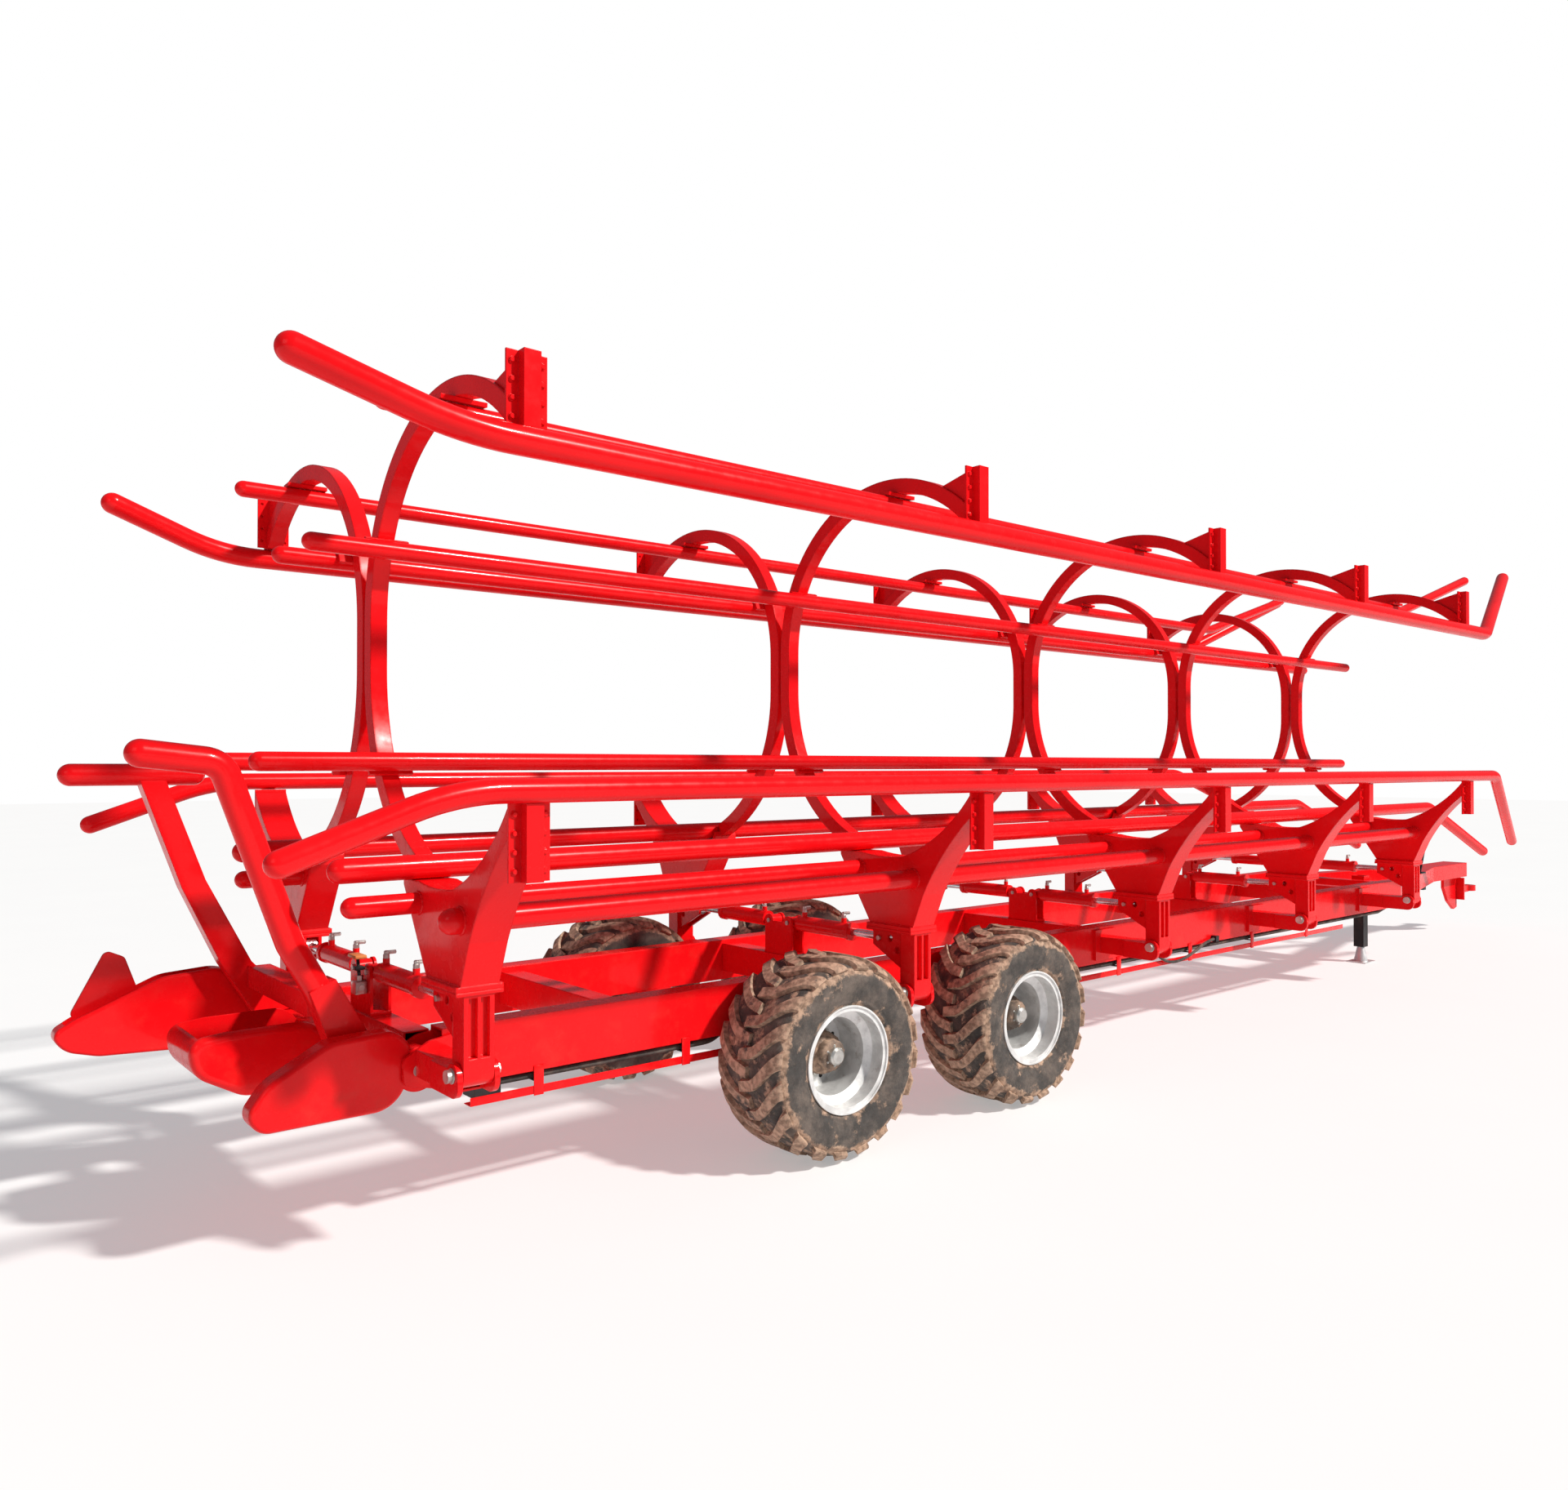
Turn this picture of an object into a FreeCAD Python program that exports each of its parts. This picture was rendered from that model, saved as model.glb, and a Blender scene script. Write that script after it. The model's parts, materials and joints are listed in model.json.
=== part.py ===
"""Two-lane round-bale trailer: chassis, two tilting cages, rear loading head, wheels and jack.

Millimetres.  +X is forwards (the hitch), +Y is left, +Z is up.  The origin is on the ground,
under the middle of the trailer's length and width.  The right side is drawn with
y = -(distance from the centre line) and the left side is its mirror image.
"""
import FreeCAD, Part
import math
import os
import re

from FreeCAD import Placement, Rotation, Vector

doc = FreeCAD.newDocument("bale_trailer")
sheet = doc.addObject("Spreadsheet::Sheet", "Sizes")

# ---------------------------------------------------------------- driving dimensions
DRIVING = [
    ("overall_length", 13350), ("station_one", -5595), ("station_two", -3315),
    ("station_three", -1195), ("station_four", 705), ("station_five", 2535),
    ("beam_rear", -5545), ("beam_front", 3300), ("beam_outer", 620), ("beam_width", 110),
    ("beam_height", 230), ("beam_top", 780), ("beam_wall", 8),
    ("cross_width", 100), ("cross_height", 160), ("cross_wall", 6),
    ("axle_rear", -3835), ("axle_front", -2505), ("axle_square", 100), ("spindle_radius", 30),
    ("tyre_radius", 465), ("tyre_width", 455), ("track_half", 895), ("rim_radius", 216),
    ("rim_width", 390), ("hinge_out", 1010), ("hinge_height", 700), ("post_width", 95),
    ("post_depth", 116), ("post_top", 985), ("flange_thickness", 15), ("hinge_pin_radius", 15),
    ("hoop_tube", 70), ("hoop_wall", 5), ("lane_out", 825), ("lane_height", 2415),
    ("hoop_radius", 780), ("foot_arc_radius", 864), ("foot_arc_height", 2211), ("foot_arc_angle", 66),
    ("bracket_out", 1400), ("bracket_width", 150), ("bracket_plate", 10), ("bracket_length", 262),
    ("upper_rail_out", 1450), ("upper_rail_height", 2875), ("upper_rail_radius", 50),
    ("lower_rail_out", 1470), ("lower_rail_height", 1720), ("lower_rail_radius", 42),
    ("guide_rail_radius", 38), ("clamp_gap", 20), ("bed_rail_radius", 47),
    ("bed_inner_out", 625), ("bed_inner_height", 1415), ("bed_middle_out", 690),
    ("bed_middle_height", 1285), ("bed_middle_radius", 40), ("bed_outer_out", 1060),
    ("bed_outer_height", 1255), ("tube_wall", 5), ("pedestal_depth", 148), ("pedestal_wall", 8),
    ("ram_height", 940), ("ram_inner_out", 80), ("ram_outer_out", 800), ("barrel_radius", 42),
    ("barrel_bore", 32), ("rod_radius", 20), ("ram_pin_radius", 12), ("rod_eye_bore", 28),
    ("running_gap", 0.05), ("head_pivot", -5640), ("head_height", 640), ("knuckle_radius", 85),
    ("head_pin_radius", 25), ("shoe_outer", 616), ("shoe_width", 104), ("arm_out", 445),
    ("jack_place", 3355), ("jack_out", 240), ("jack_square", 90), ("jack_sleeve_bottom", 430),
    ("jack_sleeve_top", 790), ("jack_post_bottom", 140), ("line_radius", 14), ("line_drop", 24),
    ("ear_thickness", 18), ("hose_radius", 10), ("hose_out", 642), ("fastener_radius", 6.5),
    ("fork_gap", 2), ("fork_ear", 20), ("outrigger_wall", 8), ("stand_half", 32), ("stand_plate", 12),
    ("hitch_bore", 26), ("hitch_ring", 85), ("hitch_ring_height", 60), ("hitch_low", 405),
]
for row, (alias, value) in enumerate(DRIVING, start=1):
    sheet.set(f"A{row}", alias)
    sheet.set(f"B{row}", str(value))
    sheet.setAlias(f"B{row}", alias)
doc.recompute()
ALIASES = [alias for alias, _ in DRIVING]
STATION_NAMES = ["station_" + word for word in ("one", "two", "three", "four", "five")]
STATIONS = [sheet.get(name) for name in STATION_NAMES]

LOWER_BRACKET_STEP = 26.0   # how much further out the lower brackets stand than the upper ones
kept = []   # the finished sub-parts, one for each file


def size(alias):
    """The value of one driving dimension."""
    return float(sheet.get(alias))


def bound(text):
    """An expression whose driving dimensions are read from the sheet."""
    return re.sub(r"[a-z_]+", lambda hit: "Sizes." + hit.group() if hit.group() in ALIASES
                  else hit.group(), str(text))


def keep(thing, label):
    """Name a sub-part and remember that it is written to a file."""
    thing.Label = label
    kept.append(thing)
    return thing


# ---------------------------------------------------------------- parametric primitives
def box(corner, extent):
    """A Part::Box whose corner and extent are expressions."""
    made = doc.addObject("Part::Box", "block")
    for name, text in zip(("Length", "Width", "Height"), extent):
        made.setExpression(name, bound(text))
    for name, text in zip("xyz", corner):
        made.setExpression("Placement.Base." + name, bound(text))
    return made


AXIS_TURN = {"x": Rotation(Vector(0, 1, 0), 90), "y": Rotation(Vector(1, 0, 0), -90), "z": Rotation()}


def rod(start, length, radius, axis):
    """A Part::Cylinder that starts at a point and runs along +X, +Y or +Z."""
    made = doc.addObject("Part::Cylinder", "round_bar")
    made.Placement = Placement(Vector(), AXIS_TURN[axis])
    made.setExpression("Height", bound(length))
    made.setExpression("Radius", bound(radius))
    for name, text in zip("xyz", start):
        made.setExpression("Placement.Base." + name, bound(text))
    return made


def cut(base, tool):
    made = doc.addObject("Part::Cut", "cut")
    made.Base = base
    made.Tool = tool
    return made


def fuse(*pieces):
    made = doc.addObject("Part::MultiFuse", "fused")
    made.Shapes = list(pieces)
    made.Refine = True
    return made


def group(*pieces):
    """Separate solids that share one node."""
    made = doc.addObject("Part::Compound", "group")
    made.Links = list(pieces)
    return made


def box_tube(corner, extent, wall, along):
    """A rectangular hollow section, open at both ends, along axis number `along`."""
    inner_corner = [f"({c}) + {wall}" for c in corner]
    inner_extent = [f"({e}) - 2 * {wall}" for e in extent]
    inner_corner[along] = f"({corner[along]}) - 1"
    inner_extent[along] = f"({extent[along]}) + 2"
    return cut(box(corner, extent), box(inner_corner, inner_extent))


def on_side(side, near, far):
    """The lower Y of a thing that reaches from `near` to `far` out on one side."""
    return f"({near})" if side == "left" else f"-({far})"


def out_box(side, x_low, x_extent, near, far, z_low, z_extent):
    """A box between two distances out on one side."""
    return box((x_low, on_side(side, near, far), z_low), (x_extent, f"({far}) - ({near})", z_extent))


def fore_rod(side, x_low, extent, out, height, radius):
    """A round bar that runs fore and aft, at a distance out on one side."""
    return rod((x_low, on_side(side, out, out), height), extent, radius, "x")


def cross_rod(side, x, near, far, height, radius):
    """A round bar across the trailer, between two distances out on one side."""
    return rod((x, on_side(side, near, far), height), f"({far}) - ({near})", radius, "y")


# ---------------------------------------------------------------- shapes made with Part functions
def feature(label, shape):
    made = doc.addObject("Part::Feature", label)
    made.Shape = shape
    return keep(made, label)


def mirrored(shape):
    return shape.mirror(Vector(0, 0, 0), Vector(0, 1, 0))


def moved(shape, x=0.0, y=0.0, z=0.0):
    copy = shape.copy()
    copy.translate(Vector(x, y, z))
    return copy


def both_sides(name, right_shape):
    """The right sub-part and its mirror image on the left."""
    feature("right_" + name, right_shape)
    feature("left_" + name, mirrored(right_shape))


def at_stations(shape):
    return Part.makeCompound([moved(shape, x=place) for place in STATIONS])


def outline(points):
    """A closed wire; a three-point entry (a, via, b) is an arc from a to b."""
    edges = []
    for entry in points:
        if len(entry) == 3:
            edges.append(Part.Arc(*entry).toShape())
        else:
            edges.append(Part.makeLine(*entry))
    return Part.Wire(edges)


def side_point(out, height):
    """A point in the plane of a station, on the right-hand side."""
    return Vector(0, -out, height)


def polygon(corners):
    return Part.makePolygon(list(corners) + [corners[0]])


def slab(wire, depth):
    """A plate across a station plane, centred on it."""
    return moved(Part.Face(wire).extrude(Vector(depth, 0, 0)), x=-depth / 2)


def plate_xz(corners, y_low, thickness):
    """A plate that stands fore and aft, from (x, z) corners."""
    wire = polygon([Vector(x, y_low, z) for x, z in corners])
    return Part.Face(wire).extrude(Vector(0, thickness, 0))


def rounded_corner(before, corner, after, reach):
    """Start, middle and end of the arc at a corner; `reach` is how far it runs along both sides."""
    back = (before - corner).normalize()
    ahead = (after - corner).normalize()
    half_turn = (math.pi - back.getAngle(ahead)) / 2
    radius = reach / math.tan(half_turn)
    centre = corner + (back + ahead).normalize() * (radius / math.cos(half_turn))
    middle = centre + (corner - centre).normalize() * radius
    return corner + back * reach, middle, corner + ahead * reach


def bend_tangent(before, corner, after):
    """The tangent of half the turn at a corner, which is an arc's reach for each unit of its radius."""
    return math.tan((math.pi - (before - corner).getAngle(after - corner)) / 2)


def round_plate(corners, y_low, thickness, corner_radius):
    """A plate that stands fore and aft, with rounded corners."""
    points = [Vector(x, y_low, z) for x, z in corners]
    arcs = []
    for before, corner, after in zip(points[-1:] + points, points, points[1:] + points[:1]):
        shorter = min((before - corner).Length, (after - corner).Length)
        reach = min(corner_radius * bend_tangent(before, corner, after), 0.45 * shorter)
        arcs.append(rounded_corner(before, corner, after, reach))
    entries = []
    for arc, following in zip(arcs, arcs[1:] + arcs[:1]):
        entries += [arc, (arc[2], following[0])]
    return Part.Face(outline(entries)).extrude(Vector(0, thickness, 0))


def soft_plate(corners, y_low, thickness, corner_radius, edge_radius):
    """A plate with rounded corners whose long edges are softened too."""
    solid = round_plate(corners, y_low, thickness, corner_radius)
    ridge = [edge for edge in solid.Edges if edge.BoundBox.YLength < 1]
    return solid.makeFillet(edge_radius, ridge)


def round_x(x_low, x_high, out, height, radius):
    return Part.makeCylinder(radius, x_high - x_low, Vector(x_low, -out, height), Vector(1, 0, 0))


def rounded_path(points, reaches):
    """Straight runs joined by tangent arcs, each of which starts its reach before the corner."""
    edges = []
    start = points[0]
    for before, corner, after, reach in zip(points, points[1:], points[2:], reaches):
        leave, middle, enter = rounded_corner(before, corner, after, reach)
        edges += [Part.makeLine(start, leave), Part.Arc(leave, middle, enter).toShape()]
        start = enter
    edges.append(Part.makeLine(start, points[-1]))
    return Part.Wire(edges)


def bent_path(points, bend_radii):
    """A bar's centre line; a single radius serves for every bend."""
    if not isinstance(bend_radii, tuple):
        bend_radii = (bend_radii,) * len(points)
    return rounded_path(points, [radius * bend_tangent(*corner)
                                 for corner, radius in zip(zip(points, points[1:], points[2:]), bend_radii)])


def swept_round(path, radius):
    first = path.Edges[0]
    start = first.valueAt(first.FirstParameter)
    ahead = first.tangentAt(first.FirstParameter)
    ring = Part.Wire([Part.makeCircle(radius, start, ahead)])
    return path.makePipeShell([ring], True, False)


BENDS = (900.0, 300.0)   # the outer rails' bend radii at the rear and at the front


def rail(points, radius, bend_radius=300.0):
    """A bent tube with domed ends and a small drain hole in its front dome."""
    wall = size("tube_wall")
    solid = swept_round(bent_path(points, bend_radius), radius)
    for end, inside in ((points[0], points[1]), (points[-1], points[-2])):
        outward = (end - inside).normalize()
        solid = solid.fuse(Part.makeSphere(radius, end, outward, 0, 90, 360))
    solid = solid.removeSplitter()
    setback = radius / 2
    hollow_points = list(points)
    hollow_points[0] = points[0] + (points[1] - points[0]).normalize() * setback
    hollow_points[-1] = points[-1] + (points[-2] - points[-1]).normalize() * setback
    hollow = swept_round(bent_path(hollow_points, bend_radius), radius - wall)
    outward = (points[-1] - points[-2]).normalize()
    drain = Part.makeCylinder(wall, 2 * radius + setback, hollow_points[-1] - outward * 5, outward)
    return solid.cut(hollow.fuse(drain))


def rail_points(out, height, rear_x, front_x, rear_flare=None, front_flare=None):
    """The route of a rail: a straight run with a flare (x, out, z) at either end."""
    points = [Vector(rear_x, -out, height), Vector(front_x, -out, height)]
    if rear_flare:
        dx, dout, dz = rear_flare
        points.insert(0, points[0] + Vector(dx, -dout, dz))
    if front_flare:
        dx, dout, dz = front_flare
        points.append(points[-1] + Vector(dx, -dout, dz))
    return points


# ---------------------------------------------------------------- chassis
def make_beams():
    for side, corner in (("right", "-beam_outer"), ("left", "beam_outer - beam_width")):
        beam = box_tube(("beam_rear", corner, "beam_top - beam_height"),
                        ("beam_front - beam_rear", "beam_width", "beam_height"), "beam_wall", 0)
        keep(beam, side + "_chassis_beam")


def make_cross_members():
    """Tubes between the beams; the rearmost one ends at the inner hinge plates."""
    places = STATION_NAMES[1:]
    places += ["(station_one + axle_rear) / 2", "beam_front - cross_width"]
    reaches = ["(beam_outer - beam_width)"] * len(places)
    places.insert(0, "station_one")
    reaches.insert(0, "(beam_outer - beam_width - ear_thickness)")
    tubes = [box_tube((f"{place} - cross_width / 2", f"-{reach}", "beam_top - 20 - cross_height"),
                      ("cross_width", f"2 * {reach}", "cross_height"), "cross_wall", 1)
             for place, reach in zip(places, reaches)]
    keep(group(*tubes), "cross_members")


def make_axles():
    """Two through axles, each with a seat block welded under either beam."""
    axles = []
    for end in ("rear", "front"):
        beam = box((f"axle_{end} - axle_square / 2", "-beam_outer", "tyre_radius - axle_square / 2"),
                   ("axle_square", "2 * beam_outer", "axle_square"))
        spindle = rod((f"axle_{end}", "-track_half - 64", "tyre_radius"), "2 * track_half + 128",
                      "spindle_radius", "y")
        seats = [box((f"axle_{end} - 110", corner, "tyre_radius + axle_square / 2"),
                     ("220", "beam_width", "beam_top - beam_height - tyre_radius - axle_square / 2"))
                 for corner in ("-beam_outer", "beam_outer - beam_width")]
        axles.append(fuse(beam, spindle, *seats))
    keep(group(*axles), "axles")


FORK = "(post_depth / 2 + fork_gap)"                    # half the room inside an outrigger's fork
PIN_RUN = "(post_depth / 2 + fork_gap + fork_ear + 14)"  # half the length of a cage hinge pin


def outrigger(side, station):
    """An arm from the beam to the cage hinge, ending in a fork around the post's foot."""
    near, far = "beam_outer + ear_thickness", "hinge_out - post_width / 2 - 8"
    low, tall, wall = "hinge_height - 80", "100", "outrigger_wall"
    tube = out_box(side, f"{station} - {FORK}", f"2 * {FORK}", near, far, low, tall)
    inside = out_box(side, f"{station} - {FORK} + {wall}", f"2 * {FORK} - 2 * {wall}", f"{near} - 1",
                     f"{far} + 1", f"{low} + {wall}", f"{tall} - 2 * {wall}")
    pieces = [cut(tube, inside)]
    for x in (f"{station} - {FORK} - fork_ear", f"{station} + {FORK}"):
        pieces.append(out_box(side, x, "fork_ear", f"{near} + 180", "hinge_out", low, tall))
        pieces.append(fore_rod(side, x, "fork_ear", "hinge_out", "hinge_height - 30", "50"))
        pieces.append(fore_rod(side, x, "fork_ear", "hinge_out", "hinge_height - 5", "48"))
    # At the first station the outer hinge plate of the loading head takes the place of the pad.
    if station != "station_one":
        pieces.append(out_box(side, f"{station} - 110", "220", "beam_outer", near,
                              "hinge_height - 125", "190"))
    bore = fore_rod(side, f"{station} - 200", "400", "hinge_out", "hinge_height",
                    "hinge_pin_radius + running_gap")
    return cut(fuse(*pieces), bore)


def make_outriggers():
    keep(group(*[outrigger(side, station) for side in ("right", "left") for station in STATION_NAMES]),
         "outriggers")


def make_chassis_pins():
    """The cage hinge pins with their heads, and the pins at the inner end of the rams."""
    pins = []
    for side in ("right", "left"):
        for station in STATION_NAMES:
            pin = fore_rod(side, f"{station} - {PIN_RUN}", f"2 * {PIN_RUN}", "hinge_out", "hinge_height",
                           "hinge_pin_radius")
            head = fore_rod(side, f"{station} - {PIN_RUN} - 10", "22", "hinge_out", "hinge_height", "24")
            pins.append(fuse(pin, head))
            pins.append(fore_rod(side, f"{station} - 52", "104", "ram_inner_out", "ram_height",
                                 "ram_pin_radius"))
    keep(group(*pins), "chassis_pins")


def ram_stand(station):
    """A base plate and a pair of upright plates with an eye for either ram."""
    base, half, plate = "beam_top - 20", "stand_half", "stand_plate"
    pieces = [box((f"{station} - {half} - {plate}", "-120", base),
                  (f"2 * {half} + 2 * {plate}", "240", plate))]
    for x in (f"{station} - {half} - {plate}", f"{station} + {half}"):
        pieces.append(box((x, "-115", base), (plate, "230", f"ram_height - ({base})")))
        for side in ("right", "left"):
            pieces.append(fore_rod(side, x, plate, "ram_inner_out", "ram_height", "35"))
    bores = [fore_rod(side, f"{station} - 100", "200", "ram_inner_out", "ram_height",
                      "ram_pin_radius + running_gap") for side in ("right", "left")]
    return cut(fuse(*pieces), group(*bores))


def make_ram_stands():
    """The stands on the centre line of each station."""
    keep(group(*[ram_stand(station) for station in STATION_NAMES]), "ram_stands")


MOUTH = "ram_outer_out - 240"   # how far out the rod leaves the barrel


def ram_barrel(side, station):
    """A hollow barrel with an eye at its inner end, a gland at its mouth and two ports."""
    height = "ram_height"
    pieces = [cross_rod(side, station, "ram_inner_out + 60", f"{MOUTH} - 20", height, "barrel_radius"),
              cross_rod(side, station, "ram_inner_out", "ram_inner_out + 70", height, "26"),
              cross_rod(side, station, f"{MOUTH} - 30", MOUTH, height, "barrel_radius + 5"),
              fore_rod(side, f"{station} - 28", "56", "ram_inner_out", height, "30")]
    for out in ("ram_inner_out + 95", f"{MOUTH} - 70"):
        pieces.append(rod((station, on_side(side, out, out), "ram_height + barrel_radius - 12"),
                          "34", "14", "z"))
    hollows = [cross_rod(side, station, "ram_inner_out + 70", f"{MOUTH} - 40", height, "barrel_bore"),
               cross_rod(side, station, f"{MOUTH} - 45", f"{MOUTH} + 5", height,
                         "rod_radius + running_gap"),
               fore_rod(side, f"{station} - 50", "100", "ram_inner_out", height,
                        "ram_pin_radius + running_gap")]
    return cut(fuse(*pieces), group(*hollows))


def ram_rod(side, station):
    """A rod with its piston, and an eye with a wide bore around the cage's pin."""
    start, height = "ram_inner_out + 180", "ram_height"
    pieces = [cross_rod(side, station, start, "ram_outer_out - 30", height, "rod_radius"),
              cross_rod(side, station, start, f"{start} + 40", height, "barrel_bore - running_gap"),
              fore_rod(side, f"{station} - 25", "50", "ram_outer_out", height, "42")]
    bore = fore_rod(side, f"{station} - 50", "100", "ram_outer_out", height, "rod_eye_bore")
    return cut(fuse(*pieces), bore)


def make_rams():
    """Tilt rams: a barrel on the centre stand and a rod whose eye reaches the cage."""
    for side in ("right", "left"):
        for label, make in (("ram_barrels", ram_barrel), ("ram_rods", ram_rod)):
            keep(group(*[make(side, station) for station in STATION_NAMES]), f"{side}_{label}")


# ---------------------------------------------------------------- cages
def make_posts():
    """Hinged posts: a knuckle, a box upright, a top flange and a fork for the ram rod."""
    out, low, top = size("hinge_out"), size("hinge_height"), size("post_top")
    width, depth = size("post_width"), size("post_depth")
    post = Part.makeBox(depth, width, top - low, Vector(-depth / 2, -out - width / 2, low))
    post = post.fuse(round_x(-depth / 2, depth / 2, out, low, width / 2))
    flange = Part.makeBox(180, 310, size("flange_thickness"), Vector(-90, -out - 55, top))
    post = post.fuse(flange)
    for side in (-1, 1):
        recess = Part.makeBox(depth / 2 - 24, 26, top - low - 70,
                              Vector(6 if side > 0 else 18 - depth / 2, -out - width / 2 - 1, low + 60))
        post = post.cut(recess)
    gusset = polygon([side_point(755, top), side_point(755, 905), side_point(out - width / 2, 800),
                      side_point(out - width / 2, top)])
    for x in (-42, 28):
        ear = moved(Part.Face(gusset).extrude(Vector(14, 0, 0)), x=x)
        for hole_out, hole_height in ((875, 945), (925, 890)):
            ear = ear.cut(round_x(-60, 60, hole_out, hole_height, 17))
        post = post.fuse(ear)
    post = post.cut(round_x(-200, 200, out, low, size("hinge_pin_radius") + size("running_gap")))
    pin_hole = size("ram_pin_radius") + size("running_gap")
    post = post.cut(round_x(-60, 60, size("ram_outer_out"), size("ram_height"), pin_hole))
    both_sides("posts", at_stations(post.removeSplitter()))


def pedestal_outline(inset):
    """The winged side view of a pedestal; `inset` shrinks it by the wall."""
    base = size("post_top") + size("flange_thickness") + 20
    tip = size("bracket_out") + LOWER_BRACKET_STEP
    foot_in, horn_low, horn_end = side_point(765, base), side_point(548, 1345), side_point(545, 1387)
    horn_top, seat_start, seat_end = side_point(556, 1415), side_point(580, 1367), side_point(700, 1367)
    dip, wing_start, wing_via = side_point(850, 1352), side_point(1000, 1360), side_point(1190, 1450)
    wing_top, wing_low = side_point(tip, 1665), side_point(tip, 1560)
    wing_under, neck, foot_out = side_point(1262, 1385), side_point(1130, 1180), side_point(1062, base)
    wire = outline([(foot_in, horn_low), (horn_low, horn_end), (horn_end, horn_top),
                    (horn_top, seat_start), (seat_start, seat_end), (seat_end, dip, wing_start),
                    (wing_start, wing_via, wing_top), (wing_top, wing_low), (wing_low, wing_under, neck),
                    (neck, foot_out), (foot_out, foot_in)])
    if inset:
        wire = wire.makeOffset2D(-inset, 2)
    return wire


def make_pedestals():
    wall, depth = size("pedestal_wall"), size("pedestal_depth")
    base = size("post_top") + size("flange_thickness")
    shell = slab(pedestal_outline(0), depth)
    hollow = slab(pedestal_outline(wall), depth - 2 * wall)
    mouth = Part.makeBox(depth - 2 * wall, 250, 60, Vector(wall - depth / 2, -1042, base))
    pedestal = shell.cut(hollow.fuse(mouth))
    pedestal = pedestal.fuse(Part.makeBox(180, 306, 20, Vector(-90, -1064, base)).cut(mouth))
    for out, height, radius in (("bed_middle_out", "bed_middle_height", "bed_middle_radius"),
                                ("bed_outer_out", "bed_outer_height", "bed_rail_radius")):
        hole = round_x(-200, 200, size(out), size(height), size(radius) + 1)
        pedestal = pedestal.cut(hole)
    both_sides("pedestals", at_stations(pedestal.removeSplitter()))


def hoop_outline(offset_in, offset_out, end_trim):
    """The C shape of a hoop between two offsets from its centre line."""
    out, height, radius = size("lane_out"), size("lane_height"), size("hoop_radius")
    foot_radius, foot_height = size("foot_arc_radius"), size("foot_arc_height")
    foot_out = out - radius + foot_radius
    start = math.acos((size("bracket_out") - 4 - out) / radius) + end_trim
    finish = math.radians(size("foot_arc_angle")) - end_trim

    def upper(offset, angle):
        reach = radius + offset
        return side_point(out + reach * math.cos(angle), height + reach * math.sin(angle))

    def lower(offset, angle):
        reach = foot_radius + offset
        return side_point(foot_out - reach * math.cos(angle), foot_height - reach * math.sin(angle))

    edges = []
    for offset in (offset_out, offset_in):
        edges.append((upper(offset, start), upper(offset, (start + math.pi) / 2), upper(offset, math.pi)))
        edges.append((upper(offset, math.pi), lower(offset, 0)))
        edges.append((lower(offset, 0), lower(offset, finish / 2), lower(offset, finish)))
    edges.append((upper(offset_out, start), upper(offset_in, start)))
    edges.append((lower(offset_out, finish), lower(offset_in, finish)))
    shapes = [Part.Arc(*e).toShape() if len(e) == 3 else Part.makeLine(*e) for e in edges]
    return Part.Wire(Part.__sortEdges__(shapes))


def make_hoops():
    half, wall = size("hoop_tube") / 2, size("hoop_wall")
    bar = slab(hoop_outline(-half, half, 0.0), 2 * half)
    hollow = slab(hoop_outline(wall - half, half - wall, -0.01), 2 * (half - wall))
    # The top end is cut upright, so that it meets the back of the bracket.
    trim = Part.makeBox(200, 200, 500, Vector(-100, -size("bracket_out") - 199.5, 2700))
    both_sides("hoops", at_stations(bar.cut(hollow).cut(trim)))


def bracket(bottom, out):
    """A bolted hat-section upright that holds an outer rail, seen from outside."""
    width, plate, length = size("bracket_width"), size("bracket_plate"), size("bracket_length")
    back = Part.makeBox(width, plate, length, Vector(-width / 2, -out - plate, bottom))
    hat_width, hat_depth = width * 0.42, 42
    hat = Part.makeBox(hat_width, hat_depth, length,
                       Vector(-hat_width / 2, -out - plate - hat_depth, bottom))
    hat = hat.cut(Part.makeBox(hat_width - 16, hat_depth - 8, length + 2,
                               Vector(8 - hat_width / 2, 8 - out - plate - hat_depth, bottom - 1)))
    made = back.fuse(hat)
    for x in (-width * 0.37, width * 0.37):
        for step in range(4):
            height = bottom + length * (0.14 + 0.24 * step)
            made = made.cut(Part.makeCylinder(7, 30, Vector(x, -out - 20, height), Vector(0, 1, 0)))
    return made.removeSplitter()


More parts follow.
